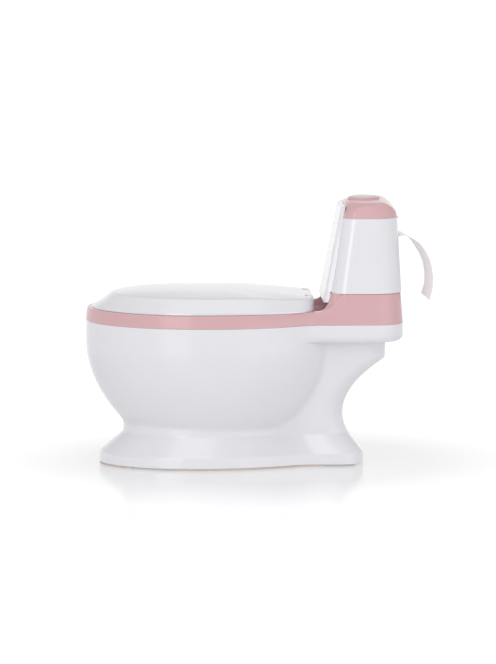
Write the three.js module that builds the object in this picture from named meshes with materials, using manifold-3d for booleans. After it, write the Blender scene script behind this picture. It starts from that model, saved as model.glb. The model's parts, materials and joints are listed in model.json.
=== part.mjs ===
// Toilet-shaped potty training chair: base, seat deck, hinged lid, lift-out pot and a small
// tank with a sounding flush button and a paper roll. Millimetres, +Z up, the front faces -Y,
// X runs across, and the origin is on the floor under the middle of the whole chair.

import * as THREE from 'three';
import { mergeVertices } from 'three/addons/utils/BufferGeometryUtils.js';
import Module from 'manifold-3d';

const wasm = await Module();
wasm.setup();

// ---------------------------------------------------------------- driving dimensions

const GAP = 0.3; // between pieces that rest on each other
const WALL = 3; // moulded shells
const THIN = 2.4; // lid, cap and pot
const AROUND = 36; // corners in the outline of a large shell
const CENTRE_Y = -20; // the large outlines are drawn around this point
const CROWDING = 0.15; // how much closer together the corners stand at the front and the rear

const FLOOR_TO_FOOT = 1.8; // the non-slip strips lift the foot by this much
const FOOT_RIM_TOP = 14;
const WAIST_BOTTOM = 37;
const BOWL_STRAIGHT_Z = 145; // above this the bowl's side is upright
const OVERHANG_Z = 147; // underside of the shelf that carries the tank
const BASE_TOP = 168;
const RING_TOP = 183;
const PLATFORM_TOP = 204;
const LID_BOTTOM = 183.6;
const LID_SHOULDER = 201; // where the sloping sides turn into the shallow crown
const LID_TOP = 206;
const TANK_TOP = 290;
const CAP_TOP = 308.7;
const BUTTON_TOP = 312;

const SEAT_MID_Y = -64; // widest place of the bowl
const RING = { mid: SEAT_MID_Y, front: -202.5, rear: 94, half: 121 };
const OPENING = { mid: SEAT_MID_Y, front: -164, rear: 30, half: 82 };
const TAIL = { front: -60, rear: 165, half: 80, frontCorner: 18, rearCorner: 34 };
const FOOT = { mid: -75, front: -187.3, rear: 70, half: 88 };
const FOOT_TAIL = { front: -60, rear: 120, half: 51, frontCorner: 20, rearCorner: 32 };
const WAIST = { mid: -70, front: -159.3, rear: 50, half: 74 };
const BOWL_CURVE = 0.0048; // the bowl draws in by this times the square of the drop
const CREASE = 3; // size of the fillet between the bowl and the column
const NECK_Z = 61; // the slimmest height of the rear neck
const NECK_REAR = 96.3;
const NECK_CURVE = 0.0117;
const COLUMN_REAR_MAX = 145.3;
const COLUMN_REAR_CORNER = 26;
const WAIST_TAIL_HALF = 42; // half width of the column at the waist
const COLUMN_TOP_HALF = 60;

const PLATFORM = { front: 80, rear: 165, half: 80, frontCorner: 18, rearCorner: 34 };
const FILLET = 15; // reach of the fillet around the platform's foot
const WELL_HALF = 65; // the hinge well: a sunken tray between the lid and the tank
const WELL_SPAN = [50, 78];
const WELL_TRAY_Z = 174; // its floor
const SCREW_TAB_Z = 160; // the deck is screwed to the base through tabs inside the rim
const DECK_SCREWS = [[0, -182], [-103, -64], [103, -64], [-62, 138], [62, 138]];

const LID = { mid: SEAT_MID_Y, front: -195.5, rear: 62.8, half: 114 };
const LID_OVERRUN = 42; // the lid's egg would run on this far past its squared-off rear
const LID_MIDDLE_Y = -62; // top of the crown
const LID_FRONT_REACH = 107; // from there to the front edge of the crown
const LUG_WIDTH = 11;
const LUG_RADIUS = 4;
const BUMPER_SEAT_Z = 188; // lower end of the lid's stubs that carry the bumpers
const BUMPER_STUB_TOP = 196.2;
const BUMPERS = [[-91, -100], [91, -100]];

const TANK_BOTTOM_PLAN = { front: 81.5, rear: 163.2, half: 78.5, frontCorner: 18, rearCorner: 33 };
const TANK_TOP_PLAN = { front: 95.3, rear: 158.7, half: 66, frontCorner: 16, rearCorner: 29 };
const TANK_SCREWS = [[-40, 100], [40, 100], [-40, 146], [40, 146]];
const PANEL_DEPTH = [7.5, 5]; // at the platform and at the tank's top
const PANEL_BOTTOM = 192; // the panel reaches down into the hinge well
const PANEL_TOP = 302.5;
const PANEL_HALF = [59, 52]; // half width at the platform and at the tank's top
const PANEL_DRAFT = 2.2; // the panel is this much narrower on each side at its front

const HINGE_Y = 57; // the lid turns here
const HINGE_Z = 194.5;
const HINGE_X = 36;
const CAP_HINGE_Y = 157.7;
const CAP_HINGE_Z = 288.6;
const CAP_KNUCKLE_RADIUS = 2.2;
const CAP_KNUCKLE_SPAN = [10.2, 29.8]; // the cap's knuckles, either side of the tank's

const CAP_MIDDLE_Y = 127;
const CAP_REAR_FALL_Y = 139; // behind this the top curves down

const BUTTON_Y = 121.5;
const BUTTON_RADIUS = 15.6;
const BUTTON_CROWN_Z = 308.6; // underside of the button's face
const WELL_FLOOR = 300.5; // floor of the button's well
const WELL_RADIUS = 16;
const STEM_RADIUS = 3;
const PIN_RADIUS = 2;
const PIN_HOLE = 2.3;

const ROLL_Y = 121;
const ROLL_Z = 234;
const ROLL_RADIUS = 24;
const PAPER_WIDTH = 70;
const AXLE_RADIUS = 4;
const AXLE_HALF = 53.5;
const SLOT_Z = 266.5; // the paper leaves through the rear wall here

const MODULE_TOP = 289;
const MODULE_BOTTOM = 274;
const MODULE_HALF_X = 42;
const MODULE_HALF_Y = 15;
const MODULE_SCREWS = [-46.5, 46.5];
const SPEAKER_X = 26;
const BOARD_BOTTOM = 287;
const BOARD_TOP = 288.4;
const CELL_RADIUS = 5.2;
const CELL_LENGTH = 44;
const CELL_X = -15.6;
const CELL_Z = 281;

// ---------------------------------------------------------------- plan outlines

// A plan field is a function of (x, y) that gives roughly the distance to an outline,
// negative inside it. An egg is two half ellipses that share a width.
function egg({ mid, front, rear, half }) {
  return (x, y) => {
    const length = y < mid ? mid - front : rear - mid;
    const u = x / half;
    const v = (y - mid) / length;
    const size = Math.hypot(u, v);
    if (size < 1e-6) return -half;
    return (size - 1) * size / Math.hypot(u / half, v / length);
  };
}

// A rectangle with its own corner radius at the front and at the rear.
function block({ front, rear, half, frontCorner, rearCorner }) {
  const mid = (front + rear) / 2;
  return (x, y) => {
    const corner = y < mid ? frontCorner : rearCorner;
    const beyondX = Math.abs(x) - (half - corner);
    const beyondY = Math.abs(y - mid) - ((rear - front) / 2 - corner);
    const outside = Math.hypot(Math.max(beyondX, 0), Math.max(beyondY, 0));
    return outside + Math.min(Math.max(beyondX, beyondY), 0) - corner;
  };
}

// Two outlines run together, with a fillet of the blend's size where they meet.
function joined(a, b, blend) {
  return (x, y) => {
    const first = a(x, y);
    const second = b(x, y);
    const overlap = Math.max(blend - Math.abs(first - second), 0) / blend;
    return Math.min(first, second) - overlap * overlap * blend / 4;
  };
}

function mixed(low, high, share) {
  const entries = Object.keys(low).map((key) => [key, low[key] + (high[key] - low[key]) * share]);
  return Object.fromEntries(entries);
}

function shrunk(plan, inset) {
  const smaller = { ...plan, front: plan.front + inset, rear: plan.rear - inset, half: plan.half - inset };
  if ('frontCorner' in plan) {
    smaller.frontCorner = Math.max(plan.frontCorner - inset, 1);
    smaller.rearCorner = Math.max(plan.rearCorner - inset, 1);
  }
  return smaller;
}

// How far from (0, centreY) the outline lies in one direction, by halving.
function reach(field, centreY, angle, inset) {
  let near = 0;
  let far = 260;
  for (let step = 0; step < 34; step += 1) {
    const middle = (near + far) / 2;
    const value = field(middle * Math.sin(angle), centreY - middle * Math.cos(angle)) + inset;
    if (value < 0) near = middle;
    else far = middle;
  }
  return near;
}

// One closed ring of corners at the outline, starting at the front.
function ring(field, z, inset = 0) {
  return Array.from({ length: AROUND }, (_, index) => {
    const turn = 2 * Math.PI * index / AROUND;
    const angle = turn - CROWDING * Math.sin(2 * turn);
    const radius = reach(field, CENTRE_Y, angle, inset);
    return new THREE.Vector3(radius * Math.sin(angle), CENTRE_Y - radius * Math.cos(angle), z);
  });
}

// A closed ring around a rounded rectangle, starting at the middle of its front.
function blockRing(plan, z, inset = 0, cornerSteps = 5) {
  const { front, rear, half, frontCorner, rearCorner } = shrunk(plan, inset);
  const outline = new THREE.Path()
    .moveTo(0, front)
    .absarc(half - frontCorner, front + frontCorner, frontCorner, -Math.PI / 2, 0)
    .absarc(half - rearCorner, rear - rearCorner, rearCorner, 0, Math.PI / 2);
  const right = outline.getPoints(cornerSteps);
  right.push(new THREE.Vector2(0, rear));
  const left = right.slice(1, -1).toReversed().map((point) => new THREE.Vector2(-point.x, point.y));
  return [...right, ...left].map((point) => new THREE.Vector3(point.x, point.y, z));
}

// ---------------------------------------------------------------- solids

// Skins a closed solid over rings of the same length. A looped skin bends back to its first
// ring, like a tyre; otherwise both end rings are closed by a fan.
function skin(rings, looped = false) {
  const count = rings[0].length;
  const corners = rings.flat();
  const faces = [];
  const lastRing = looped ? rings.length : rings.length - 1;
  for (let row = 0; row < lastRing; row += 1) {
    const next = (row + 1) % rings.length;
    for (let column = 0; column < count; column += 1) {
      const beside = (column + 1) % count;
      const a = row * count + column;
      const b = row * count + beside;
      const c = next * count + beside;
      const d = next * count + column;
      faces.push(a, b, c, a, c, d);
    }
  }
  if (!looped) {
    for (const row of [0, rings.length - 1]) {
      const centre = new THREE.Vector3();
      rings[row].forEach((corner) => centre.addScaledVector(corner, 1 / count));
      corners.push(centre);
      for (let column = 0; column < count; column += 1) {
        const a = row * count + column;
        const b = row * count + (column + 1) % count;
        if (row === 0) faces.push(b, a, corners.length - 1);
        else faces.push(a, b, corners.length - 1);
      }
    }
  }
  return outward(corners, faces);
}

// Turns every face over if the solid came out inside out.
function outward(corners, faces) {
  let volume = 0;
  for (let index = 0; index < faces.length; index += 3) {
    const [a, b, c] = [0, 1, 2].map((offset) => corners[faces[index + offset]]);
    volume += a.dot(new THREE.Vector3().crossVectors(b, c));
  }
  if (volume < 0) faces.reverse();
  const geometry = new THREE.BufferGeometry();
  const coordinates = corners.flatMap((corner) => corner.toArray());
  geometry.setAttribute('position', new THREE.Float32BufferAttribute(coordinates, 3));
  geometry.setIndex(faces);
  return geometry;
}

function toSolid(geometry) {
  const bare = geometry.clone();
  bare.deleteAttribute('normal');
  bare.deleteAttribute('uv');
  const merged = mergeVertices(bare, 1e-4);
  return new wasm.Manifold(new wasm.Mesh({
    numProp: 3,
    vertProperties: new Float32Array(merged.attributes.position.array),
    triVerts: new Uint32Array(merged.index.array),
  }));
}

function toGeometry(solid) {
  const mesh = solid.getMesh();
  const geometry = new THREE.BufferGeometry();
  geometry.setAttribute('position', new THREE.BufferAttribute(new Float32Array(mesh.vertProperties), 3));
  geometry.setIndex(new THREE.BufferAttribute(new Uint32Array(mesh.triVerts), 1));
  return geometry;
}

// The body with some pieces added and then others cut away.
function shaped(body, { add = [], cut = [] }) {
  let solid = toSolid(body);
  add.forEach((piece) => { solid = solid.add(toSolid(piece)); });
  cut.forEach((piece) => { solid = solid.subtract(toSolid(piece)); });
  return toGeometry(solid);
}

function box(low, high) {
  const size = high.map((value, axis) => value - low[axis]);
  const centre = high.map((value, axis) => (value + low[axis]) / 2);
  return new THREE.BoxGeometry(...size).translate(...centre);
}

// A round bar along X, Y or Z between two places on that axis.
function bar(axis, radius, from, to, [u, v], sides = 20) {
  const geometry = new THREE.CylinderGeometry(radius, radius, to - from, sides);
  const middle = (from + to) / 2;
  if (axis === 'x') return geometry.rotateZ(-Math.PI / 2).translate(middle, u, v);
  if (axis === 'y') return geometry.translate(u, middle, v);
  return geometry.rotateX(Math.PI / 2).translate(u, v, middle);
}

// A turned piece: the profile holds [radius, z] pairs, and its axis is upright.
function turned(profile, sides = 24) {
  const points = profile.map(([radius, z]) => new THREE.Vector2(radius, z));
  return new THREE.LatheGeometry(points, sides).rotateX(Math.PI / 2);
}

// ---------------------------------------------------------------- base and feet

// The white body's outline at one height, without the shelf under the tank.
function standField(z) {
  const rise = THREE.MathUtils.clamp((z - FOOT_RIM_TOP) / (WAIST_BOTTOM - FOOT_RIM_TOP), 0, 1);
  const climb = THREE.MathUtils.clamp((z - WAIST_BOTTOM) / (OVERHANG_Z - WAIST_BOTTOM), 0, 1);
  const neck = NECK_REAR + NECK_CURVE * (Math.max(z, FOOT_RIM_TOP) - NECK_Z) ** 2;
  const rear = Math.min(neck, z < NECK_Z ? FOOT_TAIL.rear : COLUMN_REAR_MAX);
  const lowHalf = THREE.MathUtils.lerp(FOOT_TAIL.half, WAIST_TAIL_HALF, rise);
  const half = THREE.MathUtils.lerp(lowHalf, COLUMN_TOP_HALF, climb);
  const column = { ...FOOT_TAIL, rear, half, rearCorner: COLUMN_REAR_CORNER };
  const foot = joined(egg(mixed(FOOT, WAIST, rise)), block(column), 12);
  if (z < WAIST_BOTTOM) return foot;
  const bowl = egg(shrunk(RING, BOWL_CURVE * Math.max(BOWL_STRAIGHT_Z - z, 0) ** 2));
  return joined(z < NECK_Z ? foot : block(column), bowl, CREASE);
}

// The outline of the shelf and of the deck above it.
function deckField(inset = 0) {
  return joined(egg(RING), block(shrunk(TAIL, inset)), 10);
}

function baseShell() {
  const flange = 9;
  const edge = 8;
  const outer = [];
  for (const z of [FLOOR_TO_FOOT, FOOT_RIM_TOP, WAIST_BOTTOM, 46, 51, NECK_Z, 80, 100, 120, 134]) {
    outer.push(ring(standField(z), z));
  }
  outer.push(ring(standField(OVERHANG_Z), OVERHANG_Z));
  outer.push(ring(deckField(edge), OVERHANG_Z));
  outer.push(ring(deckField(edge * 0.3), OVERHANG_Z + edge * 0.3));
  outer.push(ring(deckField(), OVERHANG_Z + edge));
  outer.push(ring(deckField(), BASE_TOP));
  const inner = [ring(deckField(), BASE_TOP, WALL)];
  inner.push(ring(deckField(), OVERHANG_Z + edge, WALL));
  inner.push(ring(deckField(edge * 0.3), OVERHANG_Z + WALL + 0.5, WALL));
  for (const z of [OVERHANG_Z + WALL, 130, 105, 80, 56, WAIST_BOTTOM + WALL, FLOOR_TO_FOOT + WALL]) {
    inner.push(ring(standField(Math.min(z, OVERHANG_Z)), z, WALL + 0.6));
  }
  for (const z of [FLOOR_TO_FOOT + WALL, FLOOR_TO_FOOT]) {
    inner.push(ring(standField(z), z, flange));
  }
  const tabs = DECK_SCREWS.map(([x, y]) => tab(x, y));
  const holes = DECK_SCREWS.map(([x, y]) => bar('z', 2, SCREW_TAB_Z - 9, SCREW_TAB_Z + 9, [x, y], 12));
  return shaped(skin([...outer, ...inner], true), { add: tabs, cut: holes });
}

// A flat tab from inside the wall to a screw, trimmed where it would come out of the wall.
function tab(x, y) {
  const width = 12;
  const thickness = 4;
  const angle = Math.atan2(x, -(y - CENTRE_Y));
  const inner = Math.hypot(x, y - CENTRE_Y) - width / 2;
  const length = 60;
  const plate = new THREE.BoxGeometry(width, length, thickness)
    .translate(0, -(inner + length / 2), SCREW_TAB_Z)
    .rotateZ(angle)
    .translate(0, CENTRE_Y, 0);
  const withinWall = [SCREW_TAB_Z - 6, SCREW_TAB_Z + 6].map((z) => ring(deckField(), z, 1.2));
  return toGeometry(toSolid(plate).intersect(toSolid(skin(withinWall))));
}

// A non-slip strip under the foot rim, between two angles around the foot.
function footStrip(fromAngle, toAngle, pieces) {
  const field = standField(0);
  const width = 7;
  const sections = Array.from({ length: pieces + 1 }, (_, index) => {
    const angle = fromAngle + (toAngle - fromAngle) * index / pieces;
    return [[1, 0], [1, FLOOR_TO_FOOT - GAP], [width, FLOOR_TO_FOOT - GAP], [width, 0]].map(([inset, z]) => {
      const radius = reach(field, CENTRE_Y, angle, inset);
      return new THREE.Vector3(radius * Math.sin(angle), CENTRE_Y - radius * Math.cos(angle), z);
    });
  });
  return skin(sections);
}

// ---------------------------------------------------------------- seat deck

const platformField = block(PLATFORM);

// Height of the deck's top face: flat around the opening, then a fillet up to the platform.
function deckTop(x, y) {
  const away = THREE.MathUtils.clamp(platformField(x, y) / FILLET, 0, 1);
  return RING_TOP + (PLATFORM_TOP - RING_TOP) * (1 - Math.sqrt(1 - (1 - away) ** 2));
}

// How far along the line from start to end the platform is a given distance away. Lines that
// never come so close stop short of the outer edge, each step a little further out.
function filletShare(start, end, step) {
  const limit = 0.98 - 0.08 * step;
  const point = new THREE.Vector3();
  let near = 0;
  let far = limit;
  for (let halving = 0; halving < 24; halving += 1) {
    const middle = (near + far) / 2;
    point.lerpVectors(start, end, middle);
    if (platformField(point.x, point.y) > step * FILLET) near = middle;
    else far = middle;
  }
  return far;
}

function seatDeck() {
  const outer = deckField();
  const opening = egg(OPENING);
  const draft = 1.4; // the raised part of the band leans in by this much
  const lean = 0.9; // and the whole band by this much
  const edge = 1.5;
  const outline = (height, inset) => ring(outer, 0, inset).map((point) => {
    const raised = (deckTop(point.x, point.y) - RING_TOP) / (PLATFORM_TOP - RING_TOP);
    const pulled = 1 - draft * raised / Math.hypot(point.x, point.y);
    return new THREE.Vector3(point.x * pulled, point.y * pulled, height(point.x, point.y));
  });
  const openingRing = (z, inset) => ring(opening, z, inset);
  const topRings = (steps, drop, outerInset) => {
    const start = openingRing(0, -1.5 - drop);
    const end = outline(() => 0, outerInset);
    return steps.map((step) => start.map((from, index) => {
      const point = from.clone().lerp(end[index], filletShare(from, end[index], step));
      return point.setZ(deckTop(point.x, point.y) - drop);
    }));
  };
  const outside = [
    ring(outer, BASE_TOP + GAP),
    outline((x, y) => deckTop(x, y) - edge, lean),
    outline(deckTop, lean + edge),
    ...topRings([1, 0.7, 0.4, 0.15, 0], 0, lean + edge).toReversed(),
    openingRing(RING_TOP, -1.5),
    openingRing(RING_TOP - 1.5, 0),
    openingRing(BASE_TOP + GAP, 0),
  ];
  const hollow = [
    openingRing(BASE_TOP - 1, -THIN),
    openingRing(RING_TOP - WALL, -THIN),
    ...topRings([1, 0.4, 0], WALL, WALL + 0.5),
    outline((x, y) => deckTop(x, y) - WALL, WALL),
    ring(outer, BASE_TOP - 1, WALL),
  ];
  const tray = box([-WELL_HALF - WALL, WELL_SPAN[0] - WALL, WELL_TRAY_Z - WALL],
    [WELL_HALF + WALL, WELL_SPAN[1] + WALL, PLATFORM_TOP]);
  const underside = toGeometry(toSolid(skin(hollow, true)).subtract(toSolid(tray)));
  const well = box([-WELL_HALF, WELL_SPAN[0], WELL_TRAY_Z], [WELL_HALF, WELL_SPAN[1], PLATFORM_TOP + 5]);
  const shell = shaped(skin(outside, true), { cut: [underside, well] });
  const bossBottom = SCREW_TAB_Z + 2 + GAP;
  const bosses = DECK_SCREWS.map(([x, y]) => bar('z', 4.5, bossBottom, deckTop(x, y) - 1.5, [x, y], 16));
  const bossHoles = DECK_SCREWS.map(([x, y]) => bar('z', 1.9, SCREW_TAB_Z, SCREW_TAB_Z + 14, [x, y], 12));
  const lugs = [-HINGE_X, HINGE_X].map(hingeLug);
  const pinHole = bar('x', PIN_HOLE, -HINGE_X - 12, HINGE_X + 12, [HINGE_Y, HINGE_Z], 16);
  const tankHoles = TANK_SCREWS.map(([x, y]) => bar('z', 2, PLATFORM_TOP - 12, PLATFORM_TOP + 4, [x, y], 12));
  return shaped(shell, { add: [...bosses, ...lugs], cut: [...bossHoles, pinHole, ...tankHoles] });
}

// An upright lug with a round head that holds the lid's pin, standing in the hinge well.
function hingeLug(x) {
  const stem = box([x - LUG_WIDTH / 2, HINGE_Y - LUG_RADIUS, WELL_TRAY_Z - 1.5],
    [x + LUG_WIDTH / 2, HINGE_Y + LUG_RADIUS, HINGE_Z]);
  const head = bar('x', LUG_RADIUS, x - LUG_WIDTH / 2, x + LUG_WIDTH / 2, [HINGE_Y, HINGE_Z], 20);
  return toGeometry(toSolid(stem).add(toSolid(head)));
}

// ---------------------------------------------------------------- pot

function pot() {
  const plan = shrunk(OPENING, 1.5);
  const rimTop = RING_TOP + GAP + THIN;
  const depths = [[158, 5], [125, 14], [98, 27], [84, 39]];
  const outer = depths.map(([z, inset]) => ring(egg(shrunk(plan, inset)), z));
  const inner = depths.map(([z, inset]) => ring(egg(shrunk(plan, inset + THIN)), z + (z < 90 ? THIN : 0)));
  const rings = [
    ring(egg(shrunk(plan, 50)), 81),
    ...outer.toReversed(),
    ring(egg(plan), RING_TOP + GAP),
    ring(egg(shrunk(OPENING, -7)), RING_TOP + GAP),
    ring(egg(shrunk(OPENING, -7)), rimTop),
    ring(egg(shrunk(plan, THIN)), rimTop),
    ...inner,
    ring(egg(shrunk(plan, 50 + THIN)), 81 + THIN),
  ];
  return skin(rings);
}

// ---------------------------------------------------------------- lid

// The lid's outline: an egg whose rear end is squared off in front of the tank.
function lidField(frontInset, sideInset, rearInset) {
  const long = egg({
    mid: LID.mid,
    front: LID.front + frontInset,
    rear: LID.rear + LID_OVERRUN,
    half: LID.half - sideInset,
  });
  const rearEdge = LID.rear - rearInset;
  return (x, y) => -joined((a, b) => -long(a, b), (a, b) => rearEdge - b, 26)(x, y);
}

// The lid's shell: a small upright lip, sloping sides and a shallow crown that drops to the rear.
function lidShell() {
  const levels = [ // z, and how far the outline has moved in at the front, sides and rear
    [LID_BOTTOM, 0, 0, 0],
    [LID_BOTTOM + 1.6, 2, 0.3, 0],
    [192, 12.8, 7.6, 0.4],
    [199.2, 21.5, 15.6, 1.2],
    [LID_SHOULDER, 26, 19.5, 2.6],
  ];
  const rearDrop = (y) => 3.4 * THREE.MathUtils.smoothstep(y, -20, 50);
  const sides = (thickness) => levels.map(([z, front, side, rear], index) => {
    const drop = thickness * Math.min(index / 3, 1);
    const lowered = (z - LID_BOTTOM) / (LID_SHOULDER - LID_BOTTOM);
    return ring(lidField(front, side, rear), z - drop, thickness)
      .map((point) => point.setZ(point.z - lowered * rearDrop(point.y)));
  });
  const middle = new THREE.Vector3(0, LID_MIDDLE_Y, 0);
  const crown = (shoulder, thickness) => [0.12, 0.35, 0.65, 0.92].map((share) => shoulder.map((point) => {
    const forward = THREE.MathUtils.clamp((LID_MIDDLE_Y - point.y) / LID_FRONT_REACH, 0, 1);
    const rise = 1 - (1 - share) ** (2 + 2.5 * forward ** 2); // quicker at the front
    const z = THREE.MathUtils.lerp(point.z, LID_TOP - thickness, rise);
    return point.clone().lerp(middle, share).setZ(z);
  }));
  const [outer, inner] = [sides(0), sides(THIN)];
  const rings = [
    ...crown(inner.at(-1), THIN).toReversed(),
    ...inner.toReversed(),
    ...outer,
    ...crown(outer.at(-1), 0),
  ];
  const lugRoom = LUG_WIDTH / 2 + 2 * GAP;
  const notches = [-HINGE_X, HINGE_X].map((x) => box(
    [x - lugRoom, HINGE_Y - LUG_RADIUS - 1.2, LID_BOTTOM - 3],
    [x + lugRoom, HINGE_Y + 20, LID_TOP + 3],
  ));
  const knuckleSpans = [-1, 1].flatMap((side) => [-1, 1].map((end) => {
    const nearLug = side * HINGE_X + end * lugRoom;
    return [nearLug, nearLug + end * 7].toSorted((a, b) => a - b);
  }));
  const knuckles = knuckleSpans.map(([from, to]) => bar('x', LUG_RADIUS, from, to, [HINGE_Y, HINGE_Z], 20));
  const pinHoles = [-HINGE_X, HINGE_X].map((x) => bar('x', PIN_HOLE, x - 15, x + 15, [HINGE_Y, HINGE_Z], 16));
  const stubs = BUMPERS.map(([x, y]) => bar('z', 4, BUMPER_SEAT_Z, BUMPER_STUB_TOP, [x, y], 16));
  return shaped(skin(rings), { add: [...knuckles, ...stubs], cut: [...notches, ...pinHoles] });
}

// A soft stop on the end of a stub inside the lid, which meets the ring when the lid is down.
function lidBumper() {
  const low = RING_TOP + 0.4;
  const high = BUMPER_SEAT_Z - GAP;
  return turned([[0, low], [2.8, low], [3.8, low + 1], [3.8, high], [0, high]], 16);
}

// ---------------------------------------------------------------- tank

function tankPlan(z) {
  const share = (z - PLATFORM_TOP) / (TANK_TOP - PLATFORM_TOP);
  return mixed(TANK_BOTTOM_PLAN, TANK_TOP_PLAN, share);
}

// A box that spans `from` to `to` in X on one side of the middle, given as distances from it.
function sideBox(side, [from, to], [lowY, lowZ], [highY, highZ]) {
  const [lowX, highX] = side > 0 ? [from, to] : [-to, -from];
  return box([lowX, lowY, lowZ], [highX, highY, highZ]);
}

function tankShell() {
  const bottom = PLATFORM_TOP + GAP;
  const rings = [
    ...[bottom, 247, TANK_TOP].map((z) => blockRing(tankPlan(z), z)),
    ...[TANK_TOP, 247, bottom + WALL].map((z) => blockRing(tankPlan(z), z, THIN)),
  ];
  const bosses = TANK_SCREWS.map(([x, y]) => bar('z', 4.5, bottom + 1, bottom + 14, [x, y], 16));
  const holes = TANK_SCREWS.map(([x, y]) => bar('z', 1.9, bottom - 2, bottom + 11, [x, y], 12));
  const rearWall = tankPlan(SLOT_Z).rear;
  const slotHalf = PAPER_WIDTH / 2 + 3;
  const slot = box([-slotHalf, rearWall - 12, SLOT_Z - 4.5], [slotHalf, rearWall + 6, SLOT_Z + 4.5]);
  const knuckleHalf = CAP_KNUCKLE_SPAN[0] - 0.5;
  const hinge = [CAP_HINGE_Y, CAP_HINGE_Z];
  const knuckle = bar('x', CAP_KNUCKLE_RADIUS, -knuckleHalf, knuckleHalf, hinge, 16);
  const pinHole = bar('x', 1.3, -12, 12, hinge, 12);
  const recesses = [-1, 1].map((side) => sideBox(side, [10, 30.5],
    [CAP_HINGE_Y - 3.2, CAP_HINGE_Z - 3.2], [CAP_HINGE_Y + 6, TANK_TOP + 2]));
  const brackets = [-1, 1].map((side) => sideBox(side, [48, 52],
    [ROLL_Y - 9, PLATFORM_TOP + 2], [ROLL_Y + 9, ROLL_Z + 10]));
  const fork = AXLE_RADIUS + GAP;
  const forks = [-1, 1].map((side) => sideBox(side, [46, 54],
    [ROLL_Y - fork, ROLL_Z - fork], [ROLL_Y + fork, ROLL_Z + 14]));
  return shaped(skin(rings), {
    add: [...bosses, knuckle, ...brackets],
    cut: [...holes, slot, ...recesses, pinHole, ...forks],
  });
}

// The leaning plate on the tank's front, with its top edge rolled back.
function frontPanel() {
  const roll = 4;
  const plate = (z, frontInset = 0, sideInset = 0, limit = TANK_TOP_PLAN.front) => {
    const lean = tankPlan(Math.min(z, TANK_TOP + 12)).front;
    const share = (z - PLATFORM_TOP) / (TANK_TOP - PLATFORM_TOP);
    const depth = THREE.MathUtils.lerp(...PANEL_DEPTH, share);
    const plan = {
      front: lean - depth + frontInset,
      rear: Math.min(lean, limit) - GAP,
      half: THREE.MathUtils.lerp(...PANEL_HALF, share) - sideInset,
      frontCorner: 2.8,
      rearCorner: 0.5,
    };
    return blockRing(plan, z, 0, 3).map((point) => {
      const draft = PANEL_DRAFT * (plan.rear - point.y) / depth;
      return point.setX(point.x * (1 - draft / plan.half));
    });
  };
  const angles = [0, 30, 60, 80].map(THREE.MathUtils.degToRad);
  const rolledEdge = angles.map((angle) => {
    const z = PANEL_TOP - roll + roll * Math.sin(angle);
    return plate(z, roll * (1 - Math.cos(angle)), roll * 0.6 * (1 - Math.cos(angle)));
  });
  const low = PLATFORM_TOP + 2 * GAP;
  const tongue = [PANEL_BOTTOM, low].map((z) => plate(z, 0, 0, WELL_SPAN[1]));
  return skin([...tongue, plate(low), plate(247), plate(TANK_TOP), ...rolledEdge]);
}

// ---------------------------------------------------------------- cap and flush button

// Height of the cap's top face: a dome that falls off towards the front corners and the rear.
function capTop(x, y) {
  const across = Math.abs(x) / TANK_TOP_PLAN.half;
  const forward = Math.max(CAP_MIDDLE_Y - y, 0) / (CAP_MIDDLE_Y - TANK_TOP_PLAN.front);
  const behind = Math.max(y - CAP_REAR_FALL_Y, 0);
  return CAP_TOP - 0.4 - 4 * Math.hypot(across, forward) ** 5.7 - 0.033 * behind ** 2;
}

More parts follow.
